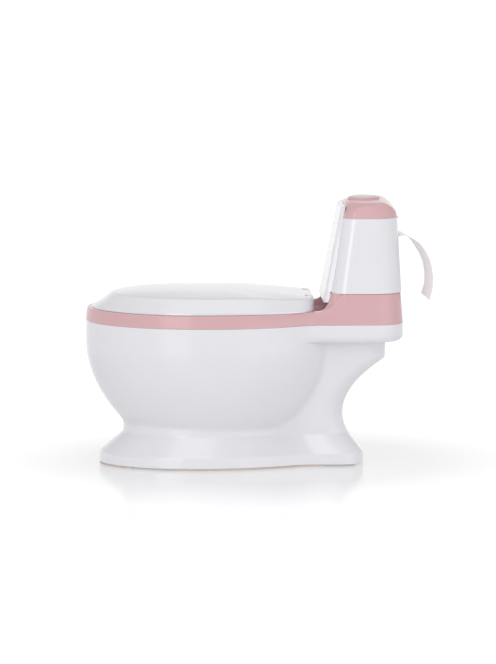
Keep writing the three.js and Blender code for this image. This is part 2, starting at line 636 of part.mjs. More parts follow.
function tankCap() {
  const bottom = TANK_TOP + GAP;
  const draft = 0.2; // the side leans in by this much per millimetre of height
  const shell = (thickness) => {
    const side = (share) => blockRing(TANK_TOP_PLAN, bottom, 0.3 + thickness).map((point) => {
      const rise = share * (capTop(point.x, point.y) - bottom);
      const pulled = 1 - draft * rise / Math.hypot(point.x, point.y - CAP_MIDDLE_Y);
      const y = CAP_MIDDLE_Y + (point.y - CAP_MIDDLE_Y) * pulled;
      return new THREE.Vector3(point.x * pulled, y, bottom + rise - (share > 0 ? thickness : 0));
    });
    const edge = side(0.9);
    const inwards = (share) => edge.map((point) => {
      const x = point.x * (1 - share);
      const y = CAP_MIDDLE_Y + (point.y - CAP_MIDDLE_Y) * (1 - share);
      return new THREE.Vector3(x, y, capTop(x, y) - thickness);
    });
    return [side(0), edge, ...[0.04, 0.18, 0.4].map(inwards)];
  };
  const body = skin([...shell(THIN).toReversed(), ...shell(0)]);
  const wellWall = WELL_RADIUS + THIN;
  const collar = turned([
    [0, WELL_FLOOR - 2], [wellWall, WELL_FLOOR - 2], [wellWall, CAP_TOP - 1],
    [wellWall + 1, CAP_TOP - 0.5], [wellWall - 0.4, CAP_TOP + 1.6], [0, CAP_TOP + 1.6],
  ]).translate(0, BUTTON_Y, 0);
  const well = bar('z', WELL_RADIUS, WELL_FLOOR, CAP_TOP + 8, [0, BUTTON_Y], 24);
  const stemHole = bar('z', STEM_RADIUS + 0.4, WELL_FLOOR - 6, CAP_TOP, [0, BUTTON_Y], 16);
  const hinge = [CAP_HINGE_Y, CAP_HINGE_Z];
  const knuckles = [-1, 1].flatMap((side) => {
    const [from, to] = CAP_KNUCKLE_SPAN.map((x) => side * x).toSorted((a, b) => a - b);
    const web = sideBox(side, CAP_KNUCKLE_SPAN,
      [CAP_HINGE_Y - CAP_KNUCKLE_RADIUS, CAP_HINGE_Z], [CAP_HINGE_Y + 0.5, bottom + 3]);
    return [bar('x', CAP_KNUCKLE_RADIUS, from, to, hinge, 16), web];
  });
  const pinHole = bar('x', 1.3, -32, 32, hinge, 12);
  const bossTop = CAP_TOP - THIN - 0.5;
  const bosses = MODULE_SCREWS.map((x) => bar('z', 3.6, MODULE_TOP + GAP, bossTop, [x, BUTTON_Y], 14));
  const holeTop = MODULE_TOP + 12;
  const bossHoles = MODULE_SCREWS.map((x) => bar('z', 1.9, MODULE_TOP - 2, holeTop, [x, BUTTON_Y], 12));
  const room = CAP_KNUCKLE_SPAN[0];
  const tankKnuckleRoom = box([-room, CAP_HINGE_Y - 3.1, bottom - 1],
    [room, CAP_HINGE_Y + 5, CAP_HINGE_Z + 3.1]);
  return shaped(body, {
    add: [collar, ...bosses, ...knuckles],
    cut: [well, stemHole, pinHole, ...bossHoles, tankKnuckleRoom],
  });
}

function flushButton() {
  const skirt = 306;
  return turned([
    [0, 294.8], [STEM_RADIUS, 294.8], [STEM_RADIUS, BUTTON_CROWN_Z], [BUTTON_RADIUS - 1.8, BUTTON_CROWN_Z],
    [BUTTON_RADIUS - 1.8, skirt], [BUTTON_RADIUS, skirt], [BUTTON_RADIUS, BUTTON_TOP - 2],
    [BUTTON_RADIUS - 2, BUTTON_TOP - 0.7], [BUTTON_RADIUS - 7, BUTTON_TOP - 0.2], [0, BUTTON_TOP],
  ]);
}

// A coil spring between the well's floor and the button.
function buttonSpring() {
  const wire = 0.5;
  const low = WELL_FLOOR + GAP + wire;
  const high = BUTTON_CROWN_Z - GAP - wire;
  const turns = 3;
  const radius = 7;
  class Coil extends THREE.Curve {
    getPoint(t, target = new THREE.Vector3()) {
      const angle = 2 * Math.PI * turns * t;
      return target.set(radius * Math.cos(angle), radius * Math.sin(angle), low + (high - low) * t);
    }
  }
  const section = new THREE.Shape().absarc(0, 0, wire, 0, 2 * Math.PI);
  return new THREE.ExtrudeGeometry(section, { steps: 40, curveSegments: 2, extrudePath: new Coil() });
}

// ---------------------------------------------------------------- sound module

// A plate or block around the button's axis, seen from above.
function slab(halfX, halfY, low, high) {
  return box([-halfX, BUTTON_Y - halfY, low], [halfX, BUTTON_Y + halfY, high]);
}

function moduleCase() {
  const wall = 1.6;
  const ear = 3;
  const body = slab(MODULE_HALF_X, MODULE_HALF_Y, MODULE_BOTTOM, MODULE_TOP);
  const hollow = slab(MODULE_HALF_X - wall, MODULE_HALF_Y - wall, MODULE_BOTTOM - 1, MODULE_TOP + 1);
  const ears = [-1, 1].map((side) => sideBox(side, [MODULE_HALF_X - 1.5, 47.5],
    [BUTTON_Y - 4.5, MODULE_TOP - ear], [BUTTON_Y + 4.5, MODULE_TOP]));
  const tips = MODULE_SCREWS.map((x) => bar('z', 4.5, MODULE_TOP - ear, MODULE_TOP, [x, BUTTON_Y], 16));
  const holes = MODULE_SCREWS.map((x) => bar('z', 2, MODULE_TOP - 6, MODULE_TOP + 3, [x, BUTTON_Y], 12));
  return shaped(body, { add: [...ears, ...tips], cut: [hollow, ...holes] });
}

function batteryCover() {
  const low = MODULE_BOTTOM - 2 - GAP;
  const pitch = [-6, 0, 6];
  const soundHoles = pitch.flatMap((dx) => pitch.map((dy) => {
    return bar('z', 1.2, low - 1, low + 3, [SPEAKER_X + dx, BUTTON_Y + dy], 6);
  }));
  return shaped(slab(MODULE_HALF_X, MODULE_HALF_Y, low, low + 2), { cut: soundHoles });
}

function speaker() {
  const low = MODULE_BOTTOM + 0.4;
  return turned([
    [0, low + 1.5], [5, low + 1], [12, low + 0.2], [12.8, low],
    [12.8, low + 1.4], [7.5, low + 3], [7.5, low + 7], [0, low + 7],
  ], 16);
}

function circuitBoard() {
  return slab(36, 12, BOARD_BOTTOM, BOARD_TOP);
}

function boardSwitch() {
  const low = BOARD_TOP + 0.1;
  const key = bar('z', 1.6, low + 1.5, low + 2.9, [0, 0], 12);
  return shaped(box([-3, -3, low], [3, 3, low + 2]), { add: [key] });
}

function cell() {
  const half = CELL_LENGTH / 2;
  const nub = 1.9;
  return turned([
    [0, -half], [CELL_RADIUS, -half], [CELL_RADIUS, half - 1], [nub, half - 1], [nub, half], [0, half],
  ], 16);
}

function contactPlate() {
  return box([-0.25, -11.5, -4.5], [0.25, 11.5, 4.5]);
}

// ---------------------------------------------------------------- paper

function paperRoll() {
  const half = PAPER_WIDTH / 2;
  const bore = AXLE_RADIUS + 2;
  return turned([[bore, -half], [ROLL_RADIUS, -half], [ROLL_RADIUS, half], [bore, half], [bore, -half]], 32);
}

function rollAxle() {
  return turned([[0, -AXLE_HALF], [AXLE_RADIUS, -AXLE_HALF], [AXLE_RADIUS, AXLE_HALF], [0, AXLE_HALF]], 20);
}

// The loose end of the paper: out through the slot, over, and down with a slight twist.
function paperStrip() {
  const thickness = 0.8;
  const twist = 3.4;
  const path = new THREE.CatmullRomCurve3([
    [151, 265.5], [159.3, 266.8], [166, 266.9], [172, 264.8], [180.7, 258.3],
    [187.3, 250], [192.5, 240.5], [195.9, 231], [197.8, 217.6], [197, 204], [193.5, 193],
  ].map(([y, z]) => new THREE.Vector3(0, y, z)));
  const sections = Array.from({ length: 25 }, (_, index) => {
    const share = index / 24;
    const middle = path.getPoint(share);
    const along = path.getTangent(share);
    const normal = new THREE.Vector3(0, along.z, -along.y).negate();
    const lift = twist * THREE.MathUtils.smoothstep(share, 0.1, 0.5);
    return [[1, 1], [1, -1], [-1, -1], [-1, 1]].map(([side, face]) => middle.clone()
      .addScaledVector(normal, side * lift + face * thickness / 2)
      .setX(side * PAPER_WIDTH / 2));
  });
  return skin(sections);
}

// ---------------------------------------------------------------- fasteners and pins

// A round-headed screw that points up, its head's top face at z 0.
function screw(length) {
  const head = 3.4;
  const shank = 1.5;
  return turned([
    [0, -2.2], [head - 1, -2.2], [head, -1.2], [head, 0], [shank, 0], [shank, length - shank], [0, length],
  ], 8);
}

// ---------------------------------------------------------------- materials and the scene

function plastic(color, roughness) {
  return new THREE.MeshStandardMaterial({ color, roughness, metalness: 0 });
}

function metal(color, roughness) {
  return new THREE.MeshStandardMaterial({ color, roughness, metalness: 1 });
}

const WHITE = plastic(0xe9e8ec, 0.18);
const PINK = plastic(0xdcb4b8, 0.2);
const PALE_GREY = plastic(0xd9d6d4, 0.3);
const RUBBER = plastic(0xa89b8c, 0.8);
const STEEL = metal(0xb9bbbe, 0.35);
const INNER = plastic(0xc9ccd0, 0.5);
const BOARD = plastic(0x3c6a4c, 0.6);
const PAPER = plastic(0xd7d0ca, 0.95);
const DARK = plastic(0x3a3a3d, 0.6);

const chair = new THREE.Group();

function place(name, geometry, material, parent = chair) {
  const mesh = new THREE.Mesh(geometry, material.clone());
  mesh.name = name;
  parent.add(mesh);
  return mesh;
}

place('base_shell', baseShell(), WHITE);
place('foot_strip_front', footStrip(-0.44, 0.44, 12), RUBBER);
place('foot_strip_left', footStrip(-0.79, -2.66, 24), RUBBER);
place('foot_strip_right', footStrip(0.79, 2.66, 24), RUBBER);

place('seat_deck', seatDeck(), PINK);
DECK_SCREWS.forEach(([x, y], index) => {
  place(`deck_screw_${index + 1}`, screw(12), STEEL).position.set(x, y, SCREW_TAB_Z - 2 - GAP);
});
place('inner_pot', pot(), WHITE);

place('lid', lidShell(), WHITE);
['left', 'right'].forEach((side, index) => {
  const sign = index === 0 ? -1 : 1;
  place(`lid_hinge_pin_${side}`, bar('x', PIN_RADIUS, -12, 12, [0, 0], 16), STEEL)
    .position.set(sign * HINGE_X, HINGE_Y, HINGE_Z);
  place(`lid_bumper_${side}`, lidBumper(), RUBBER).position.set(...BUMPERS[index], 0);
});

place('tank_shell', tankShell(), WHITE);
TANK_SCREWS.forEach(([x, y], index) => {
  place(`tank_screw_${index + 1}`, screw(13), STEEL).position.set(x, y, PLATFORM_TOP - WALL - GAP);
});
place('tank_front_panel', frontPanel(), WHITE);

place('tank_cap', tankCap(), PINK);
place('cap_hinge_pin', bar('x', 1, -29, 29, [0, 0], 12), STEEL).position.set(0, CAP_HINGE_Y, CAP_HINGE_Z);
place('flush_button', flushButton(), PALE_GREY).position.y = BUTTON_Y;
place('button_spring', buttonSpring(), STEEL).position.y = BUTTON_Y;

const soundModule = new THREE.Group();
chair.add(soundModule);
place('sound_module_case', moduleCase(), INNER, soundModule);
place('battery_cover', batteryCover(), INNER, soundModule);
place('speaker', speaker(), DARK, soundModule).position.set(SPEAKER_X, BUTTON_Y, 0);
place('circuit_board', circuitBoard(), BOARD, soundModule);
place('board_switch', boardSwitch(), DARK, soundModule).position.y = BUTTON_Y;
[-1, 1].forEach((side, index) => {
  const mesh = place(`battery_${index + 1}`, cell(), DARK, soundModule);
  mesh.position.set(CELL_X, BUTTON_Y + side * 5.9, CELL_Z);
  mesh.rotation.y = side * Math.PI / 2;
});
['left', 'right'].forEach((end, index) => {
  const x = CELL_X + (index === 0 ? -1 : 1) * (CELL_LENGTH / 2 + 1);
  place(`battery_contact_${end}`, contactPlate(), STEEL, soundModule).position.set(x, BUTTON_Y, CELL_Z);
});
MODULE_SCREWS.forEach((x, index) => {
  place(`module_screw_${index + 1}`, screw(10), STEEL, soundModule)
    .position.set(x, BUTTON_Y, MODULE_TOP - 3 - GAP);
});

const roll = place('paper_roll', paperRoll(), PAPER);
roll.rotation.y = Math.PI / 2;
roll.position.set(0, ROLL_Y, ROLL_Z);
const axle = place('roll_axle', rollAxle(), INNER);
axle.rotation.y = Math.PI / 2;
axle.position.set(0, ROLL_Y, ROLL_Z);
place('paper_strip', paperStrip(), PAPER);

export default chair;
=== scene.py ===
"""Looks for the toilet-shaped potty chair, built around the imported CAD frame.

+Z is up, the front faces -Y and X runs across. Shapes are worked out in millimetres, in the
frame's own axes, and become meshes in metres.
"""
import json
import math

import bmesh
import bpy
import numpy as np
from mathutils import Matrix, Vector


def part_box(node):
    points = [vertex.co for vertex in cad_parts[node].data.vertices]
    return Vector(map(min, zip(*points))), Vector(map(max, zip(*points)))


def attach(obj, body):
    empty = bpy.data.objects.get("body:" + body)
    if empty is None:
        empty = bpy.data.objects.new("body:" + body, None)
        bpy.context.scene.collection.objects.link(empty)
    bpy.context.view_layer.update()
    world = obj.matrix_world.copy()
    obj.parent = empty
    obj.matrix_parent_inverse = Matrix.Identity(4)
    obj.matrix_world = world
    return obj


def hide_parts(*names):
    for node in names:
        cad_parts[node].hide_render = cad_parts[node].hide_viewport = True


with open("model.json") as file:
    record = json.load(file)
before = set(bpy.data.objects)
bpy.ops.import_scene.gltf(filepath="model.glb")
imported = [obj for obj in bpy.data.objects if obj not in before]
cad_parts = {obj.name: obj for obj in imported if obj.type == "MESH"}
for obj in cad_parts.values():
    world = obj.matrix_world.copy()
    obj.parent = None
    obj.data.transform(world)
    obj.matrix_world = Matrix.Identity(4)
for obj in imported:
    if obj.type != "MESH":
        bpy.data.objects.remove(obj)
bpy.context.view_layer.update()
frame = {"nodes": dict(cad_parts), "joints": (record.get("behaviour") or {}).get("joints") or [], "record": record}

MM = 0.001


def cad_box(node):
    """Lowest and highest corner of a CAD node, in millimetres."""
    low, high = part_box(node)
    return low / MM, high / MM


DECK_LOW, DECK_HIGH = cad_box("seat_deck")
BASE_LOW, BASE_HIGH = cad_box("base_shell")
LID_LOW, LID_HIGH = cad_box("lid")
PANEL_LOW, PANEL_HIGH = cad_box("tank_front_panel")
BUTTON_LOW, BUTTON_HIGH = cad_box("flush_button")
POT_LOW, POT_HIGH = cad_box("inner_pot")
JOINTS = {joint["name"]: joint for joint in frame["joints"]}

# ------------------------------------------------------------------ driving dimensions

WALL = 3.0  # base and seat deck
THIN = 2.4  # pot, lid, tank and cap
GAP = 0.3  # room between pieces that move or lift off
SEAM = 0.05  # moulded shells meet with only this much between them
AROUND = 256  # corners in the outline of a large shell
CENTRE_Y = -20.0  # the large outlines are drawn around this point
SEARCH_LIMIT = 280.0  # farther from that point than any outline

SEAT_MID_Y = -64.0
RING = dict(mid=SEAT_MID_Y, front=DECK_LOW.y, rear=94.0, half=DECK_HIGH.x)
OPENING = dict(mid=SEAT_MID_Y, front=-164.0, rear=30.0, half=82.0)
TAIL = dict(front=-60.0, rear=DECK_HIGH.y, half=80.0, front_corner=18.0, rear_corner=34.0)
PLATFORM = dict(TAIL, front=80.0)
FOOT = dict(mid=-75.0, front=-187.3, rear=70.0, half=88.0)
FOOT_TAIL = dict(front=-60.0, rear=120.0, half=51.0, front_corner=20.0, rear_corner=32.0)
WAIST = dict(mid=-70.0, front=-159.3, rear=50.0, half=74.0)

FOOT_BOTTOM = BASE_LOW.z
FOOT_RIM_TOP = 14.0
WAIST_BOTTOM = 37.0
BOWL_STRAIGHT_Z = 145.0
BOWL_CURVE = 0.0048  # the bowl draws in by this times the square of the drop
CREASE = 3.0  # size of the fillet between the bowl and the column
NECK_Z = 61.0
NECK_REAR = 96.3
NECK_CURVE = 0.0117
NECK_HALF = 42.0
COLUMN_HALF = 60.0  # half the column's width under the shelf
COLUMN_REAR_MAX = 145.3
COLUMN_REAR_CORNER = 26.0
OVERHANG_Z = 147.0
BASE_TOP = BASE_HIGH.z
RING_TOP = 183.0
PLATFORM_TOP = DECK_HIGH.z
FILLET = 15.0  # reach of the fillet around the platform's foot
# The sunken tray between lid and tank that the lid's hinge stands in
WELL = dict(front=50.0, rear=78.0, half=65.0, front_corner=6.0, rear_corner=6.0)
WELL_FLOOR_Z = 174.0

LID_BOTTOM = RING_TOP + 0.15
LID_SHOULDER = 201.0
LID_TOP = LID_HIGH.z
LID_MIDDLE_Y = -62.0  # top of the crown
LID_REAR_DROP = 3.4  # the shoulder is this much lower at the rear
BUMPERS = ((-91.0, -100.0), (91.0, -100.0))
HINGE_Y, HINGE_Z = (value / MM for value in JOINTS["lid_hinge"]["pos_m"][1:])
HINGE_X = 36.0
LUG_WIDTH = 11.0
LUG_RADIUS = 4.0

TANK_TOP = 290.0
TANK_BOTTOM_PLAN = dict(front=81.5, rear=163.2, half=78.5, front_corner=18.0, rear_corner=33.0)
TANK_TOP_PLAN = dict(front=95.3, rear=158.7, half=66.0, front_corner=16.0, rear_corner=29.0)
PANEL_DEPTH = (7.5, 5.0)  # at the platform and at the tank's top
PANEL_HALF = (59.0, 50.0)
SIDE_DRAFT = 2.2  # the panel is this much narrower on each side at its front
CAP_HINGE_Y, CAP_HINGE_Z = (value / MM for value in JOINTS["cap_hinge"]["pos_m"][1:])
CAP_KNUCKLE_RADIUS = 2.2
TANK_KNUCKLE_HALF = 9.7
CAP_KNUCKLE_SPAN = (10.2, 29.8)  # distances from the middle of each of the cap's two knuckles
CAP_TOP = 308.7
CAP_DRAFT = 0.2  # the side leans in by this much per millimetre of height
CAP_MIDDLE_Y = 127.0
CAP_CORNER_FALL = 4.0  # how far the top has dropped at the middle of a side
CAP_CORNER_POWER = 5.7  # a high power keeps the middle flat
CAP_REAR_FALL_Y = 139.0  # behind this the cap's top curves down
CAP_REAR_FALL = 0.033  # by this times the square of the distance
BUTTON_Y = (BUTTON_LOW.y + BUTTON_HIGH.y) / 2
BUTTON_RADIUS = BUTTON_HIGH.x
BUTTON_TOP = BUTTON_HIGH.z
BUTTON_FLOOR = 300.5  # floor of the button's well in the cap
BUTTON_WELL_RADIUS = 16.0
SCREW_BOSS_RADIUS = 4.5
TANK_SCREWS = [(x, y) for x in (-40.0, 40.0) for y in (100.0, 146.0)]
MODULE_TOP = cad_box("sound_module_case")[1].z
MODULE_SCREWS = (-46.5, 46.5)
MODULE_BOSS_RADIUS = 3.6
ROLL_Y, ROLL_Z = (value / MM for value in JOINTS["paper_spin"]["pos_m"][1:])
PAPER_WIDTH = 70.0
SLOT_Z = 266.5


# ------------------------------------------------------------------ plan outlines

def egg(mid, front, rear, half):
    """Plan field of two half ellipses that share a width: distance to them, negative inside."""
    def field(x, y):
        length = np.where(y < mid, mid - front, rear - mid)
        u = x / half
        v = (y - mid) / length
        size = np.hypot(u, v)
        slope = np.maximum(np.hypot(u / half, v / length), 1e-9)
        return np.where(size < 1e-6, -half, (size - 1) * size / slope)
    return field


def block(front, rear, half, front_corner, rear_corner):
    """Plan field of a rectangle with its own corner radius at the front and at the rear."""
    mid = (front + rear) / 2

    def field(x, y):
        corner = np.where(y < mid, front_corner, rear_corner)
        beyond_x = np.abs(x) - (half - corner)
        beyond_y = np.abs(y - mid) - ((rear - front) / 2 - corner)
        outside = np.hypot(np.maximum(beyond_x, 0), np.maximum(beyond_y, 0))
        return outside + np.minimum(np.maximum(beyond_x, beyond_y), 0) - corner
    return field


def soft_min(a, b, blend):
    overlap = np.maximum(blend - np.abs(a - b), 0) / blend
    return np.minimum(a, b) - overlap * overlap * blend / 4


def joined(first, second, blend):
    return lambda x, y: soft_min(first(x, y), second(x, y), blend)


def mixed(low, high, share):
    return {key: low[key] + (high[key] - low[key]) * share for key in low}


def shrunk(plan, inset):
    smaller = dict(plan, front=plan["front"] + inset, rear=plan["rear"] - inset, half=plan["half"] - inset)
    for corner in ("front_corner", "rear_corner"):
        if corner in plan:
            smaller[corner] = max(plan[corner] - inset, min(plan[corner], 1.0))
    return smaller


def around(count):
    """Directions around an outline, starting at the front."""
    return np.linspace(0, 2 * math.pi, count, endpoint=False)


def halved(is_inside, near, far, rounds):
    """Closes in on the edge between near, which is inside, and far. Both are arrays."""
    for _ in range(rounds):
        middle = (near + far) / 2
        inside = is_inside(middle)
        near = np.where(inside, middle, near)
        far = np.where(inside, far, middle)
    return near, far


def part_ring(field, z, inset, angles, centre_y=CENTRE_Y):
    """Corners where the field is -inset, one in each direction from the centre."""
    def is_inside(reach):
        return field(reach * np.sin(angles), centre_y - reach * np.cos(angles)) + inset < 0

    count = len(angles)
    reach, _ = halved(is_inside, np.zeros(count), np.full(count, SEARCH_LIMIT), 40)
    return np.stack([reach * np.sin(angles), centre_y - reach * np.cos(angles), np.full(count, float(z))], 1)


def ring(field, z, inset=0.0, centre_y=CENTRE_Y, count=AROUND):
    """A closed ring of corners where the field is -inset."""
    return part_ring(field, z, inset, around(count), centre_y)


def block_ring(plan, z, inset=0.0, corner_steps=10):
    """A closed ring around a rounded rectangle, starting at the middle of its front."""
    plan = shrunk(plan, inset)
    right = [(0.0, plan["front"])]
    for corner, y, start in ((plan["front_corner"], plan["front"] + plan["front_corner"], -90),
                             (plan["rear_corner"], plan["rear"] - plan["rear_corner"], 0)):
        middle_x = plan["half"] - corner
        turn = arc(corner, start, start + 90, corner_steps)
        right += [(middle_x + across, y + along) for across, along in turn]
    right.append((0.0, plan["rear"]))
    left = [(-x, y) for x, y in right[-2:0:-1]]
    return np.array([(x, y, z) for x, y in right + left])


def arc(radius, start, end, steps):
    """(across, up) pairs along an arc about the origin, angles in degrees."""
    angles = np.radians(np.linspace(start, end, steps + 1))
    return [(radius * math.cos(angle), radius * math.sin(angle)) for angle in angles]


def edge_round(radius, steps=4):
    """(inset, rise) pairs from the side of a shell over its upper edge."""
    return [(radius - across, up) for across, up in arc(radius, 0, 90, steps)]


# ------------------------------------------------------------------ meshes

def make_object(name, corners, faces):
    mesh = bpy.data.meshes.new(name)
    mesh.from_pydata((np.asarray(corners) * MM).tolist(), [], faces)
    piece = bpy.data.objects.new(name, mesh)
    bpy.context.scene.collection.objects.link(piece)
    return piece


def skin(name, rings, looped=False, flat_ends=False):
    """Skins a piece over rings of the same length: looped like a tyre, or closed by flat ends or fans."""
    count = len(rings[0])
    last = len(rings) - 1
    corners = np.concatenate(rings)
    faces = []
    for row in range(len(rings) if looped else last):
        below = row * count
        above = (row + 1) % len(rings) * count
        for column in range(count):
            beside = (column + 1) % count
            faces.append((below + column, below + beside, above + beside, above + column))
    if flat_ends:
        faces.append(tuple(range(count))[::-1])
        faces.append(tuple(range(last * count, (last + 1) * count)))
    elif not looped:
        for row, turn in ((0, -1), (last, 1)):
            corners = np.vstack([corners, rings[row].mean(axis=0)])
            centre = len(corners) - 1
            for column in range(count):
                pair = (row * count + column, row * count + (column + 1) % count)
                faces.append((*pair[::turn], centre))
    piece = make_object(name, corners, faces)
    tidy_mesh(piece)
    return piece


def tidy_mesh(piece, sharp_degrees=38):
    """Merges doubled corners, turns faces outwards and smooths all but the sharp edges."""
    mesh = bmesh.new()
    mesh.from_mesh(piece.data)
    bmesh.ops.remove_doubles(mesh, verts=mesh.verts, dist=1e-6)
    bmesh.ops.recalc_face_normals(mesh, faces=mesh.faces)
    for face in mesh.faces:
        face.smooth = True
    for edge in mesh.edges:
        edge.smooth = len(edge.link_faces) == 2 and edge.calc_face_angle(0) < math.radians(sharp_degrees)
    mesh.to_mesh(piece.data)
    mesh.free()


def even_shading(piece):
    """Lets the large faces set the normals, so flat sides stay flat beside rounded edges."""
    modifier = piece.modifiers.new("even_shading", "WEIGHTED_NORMAL")
    modifier.keep_sharp = True


def combine(piece, others, operation):
    """Joins or cuts the piece with the others, which are used up."""
    for other in others:
        modifier = piece.modifiers.new("combine", "BOOLEAN")
        modifier.operation = operation
        modifier.solver = "EXACT"
        modifier.object = other
        apply_modifiers(piece)
        bpy.data.objects.remove(other)
    return piece


def apply_modifiers(piece):
    graph = bpy.context.evaluated_depsgraph_get()
    mesh = bpy.data.meshes.new_from_object(piece.evaluated_get(graph))
    piece.modifiers.clear()
    piece.data = mesh


def turned(name, profile, sides=96, centre=(0.0, 0.0), looped=False):
    """A turned piece with an upright axis. The profile holds (radius, z) pairs."""
    across, along = np.sin(around(sides)), np.cos(around(sides))
    rings = [np.stack([centre[0] + radius * across, centre[1] - radius * along, np.full(sides, z)], axis=1)
             for radius, z in profile]
    return skin(name, rings, looped)


def box(name, low, high):
    corners = [(x, y, z) for z in (low[2], high[2]) for y in (low[1], high[1]) for x in (low[0], high[0])]
    faces = [(0, 2, 3, 1), (4, 5, 7, 6), (0, 1, 5, 4), (1, 3, 7, 5), (3, 2, 6, 7), (2, 0, 4, 6)]
    return make_object(name, corners, faces)


def side_box(name, side, near, far, low, high):
    """A box between two distances from the middle, on one side. low and high are (y, z)."""
    start, end = sorted((side * near, side * far))
    return box(name, (start, *low), (end, *high))


def bar_x(name, radius, start, end, centre, sides=40, edge=0.4):
    """A round bar along X with its rims rounded. centre is (y, z)."""
    profile = [(radius - edge, start), (radius, start + edge), (radius, end - edge), (radius - edge, end)]
    along, up = np.sin(around(sides)), np.cos(around(sides))
    rings = [np.stack([np.full(sides, x), centre[0] + size * along, centre[1] + size * up], axis=1)
             for size, x in profile]
    return skin(name, rings)


def rounded_path(points, radii, steps=5):
    """A polyline with its inner corners rounded. Each corner takes the radius beside it."""
    path = [np.array(points[0], float)]
    for before, corner, after, radius in zip(points, points[1:], points[2:], radii):
        corner = np.array(corner, float)
        back = np.array(before, float) - corner
        ahead = np.array(after, float) - corner
        back /= np.linalg.norm(back)
        ahead /= np.linalg.norm(ahead)
        half_angle = math.acos(np.clip(back @ ahead, -1, 1)) / 2
        trim = radius / math.tan(half_angle)
        for share in np.linspace(0, 1, steps + 1):
            start = corner + back * trim * (1 - share)
            end = corner + ahead * trim * share
            path.append(start * (1 - share) + end * share)
    path.append(np.array(points[-1], float))
    return path


# ------------------------------------------------------------------ base and feet

FLARE = WAIST["front"] - FOOT["front"]
FLARE_PATH = np.array(rounded_path(
    [(0, FOOT_BOTTOM), (0, FOOT_RIM_TOP), (FLARE, WAIST_BOTTOM), (FLARE, NECK_Z)], [3.0, 5.0], 6))


def stand_field(z, outset=0.0):
    """The white body's outline at one height, without the shelf under the tank."""
    rise = np.interp(z, FLARE_PATH[:, 1], FLARE_PATH[:, 0]) / FLARE
    climb = np.clip((z - WAIST_BOTTOM) / (OVERHANG_Z - WAIST_BOTTOM), 0, 1)
    neck = NECK_REAR + NECK_CURVE * (z - NECK_Z) ** 2
    rear = soft_min(neck, FOOT_TAIL["rear"] if z < NECK_Z else COLUMN_REAR_MAX, 5.0)
    half = FOOT_TAIL["half"] + (NECK_HALF - FOOT_TAIL["half"]) * rise + (COLUMN_HALF - NECK_HALF) * climb
    column = block(**dict(FOOT_TAIL, rear=rear + outset, half=half + outset, rear_corner=COLUMN_REAR_CORNER))
    foot = joined(egg(**mixed(FOOT, WAIST, rise)), column, 14)
    if z < WAIST_BOTTOM:
        return foot
    bowl = egg(**shrunk(RING, BOWL_CURVE * max(BOWL_STRAIGHT_Z - z, 0) ** 2))
    return joined(foot if z < NECK_Z else column, bowl, CREASE)


def deck_field(inset=0.0):
    """The outline of the shelf and of the deck above it."""
    return joined(egg(**RING), block(**shrunk(TAIL, inset)), 10)


def base_shell():
    bottom_edge = 1.2
    top_edge = 0.9
    fillet = 5.0  # between the column and the shelf
    shelf_edge = 8.0
    outer = [ring(stand_field(FOOT_BOTTOM), FOOT_BOTTOM + bottom_edge - up, bottom_edge - across)
             for across, up in arc(bottom_edge, 90, 0, 4)]
    heights = [*FLARE_PATH[1:-1, 1], *np.arange(WAIST_BOTTOM + 5, NECK_Z, 1.0),
               *np.arange(NECK_Z + 0.5, OVERHANG_Z - fillet, 2.0)]
    outer += [ring(stand_field(z), z) for z in sorted(heights)]
    for across, up in arc(fillet, 180, 90, 6):
        z = OVERHANG_Z - fillet + up
        outer.append(ring(stand_field(z, fillet + across), z))
    for across, up in arc(shelf_edge, -90, 0, 9):
        outer.append(ring(deck_field(shelf_edge - across), OVERHANG_Z + shelf_edge + up))
    outer += [ring(deck_field(), BASE_TOP - top_edge + rise, inset) for inset, rise in edge_round(top_edge)]
    inner = [
        ring(deck_field(), BASE_TOP, WALL),
        ring(deck_field(), OVERHANG_Z + shelf_edge, WALL),
        ring(deck_field(shelf_edge * 0.3), OVERHANG_Z + WALL + 0.5, WALL),
    ]
    for z in (OVERHANG_Z + WALL, 130, 105, 80, 56, WAIST_BOTTOM + WALL, FOOT_BOTTOM + WALL):
        inner.append(ring(stand_field(min(z, OVERHANG_Z)), z, WALL + 0.6))
    flange = 9.0
    inner += [ring(stand_field(z), z, flange) for z in (FOOT_BOTTOM + WALL, FOOT_BOTTOM)]
    return skin("base_shell_fine", outer + inner, looped=True)


def foot_strip(name, start, end):
    """A soft strip under the foot's rim, between two angles around the foot."""
    field = stand_field(FOOT_BOTTOM)
    outer_inset, inner_inset, edge = 0.7, 7.0, 0.5
    top = FOOT_BOTTOM - 0.05
    section = [(outer_inset, top), (outer_inset, edge), (outer_inset + edge, 0.0),
               (inner_inset - edge, 0.0), (inner_inset, edge), (inner_inset, top)]
    angles = np.linspace(start, end, 90)
    paths = [part_ring(field, z, inset, angles) for inset, z in section]
    return skin(name, list(np.stack(paths, axis=1)))


# ------------------------------------------------------------------ seat deck

def deck_top(x, y):
    """Height of the deck's top face: flat around the opening, then a fillet up to the platform."""
    away = np.clip(block(**PLATFORM)(x, y) / FILLET, 0, 1)
    return RING_TOP + (PLATFORM_TOP - RING_TOP) * (1 - np.sqrt(np.clip(1 - (1 - away) ** 2, 0, 1)))


def fillet_share(start, end, step):
    """How far along each line from start to end the platform is `step` fillets away."""
    def is_before(share):
        point = start + (end - start) * share[:, None]
        return block(**PLATFORM)(point[:, 0], point[:, 1]) > step * FILLET

    limit = 0.985 - 0.06 * step  # where the platform isn't met, the rings stay apart all the same
    return halved(is_before, np.zeros(len(start)), np.full(len(start), limit), 30)[1]


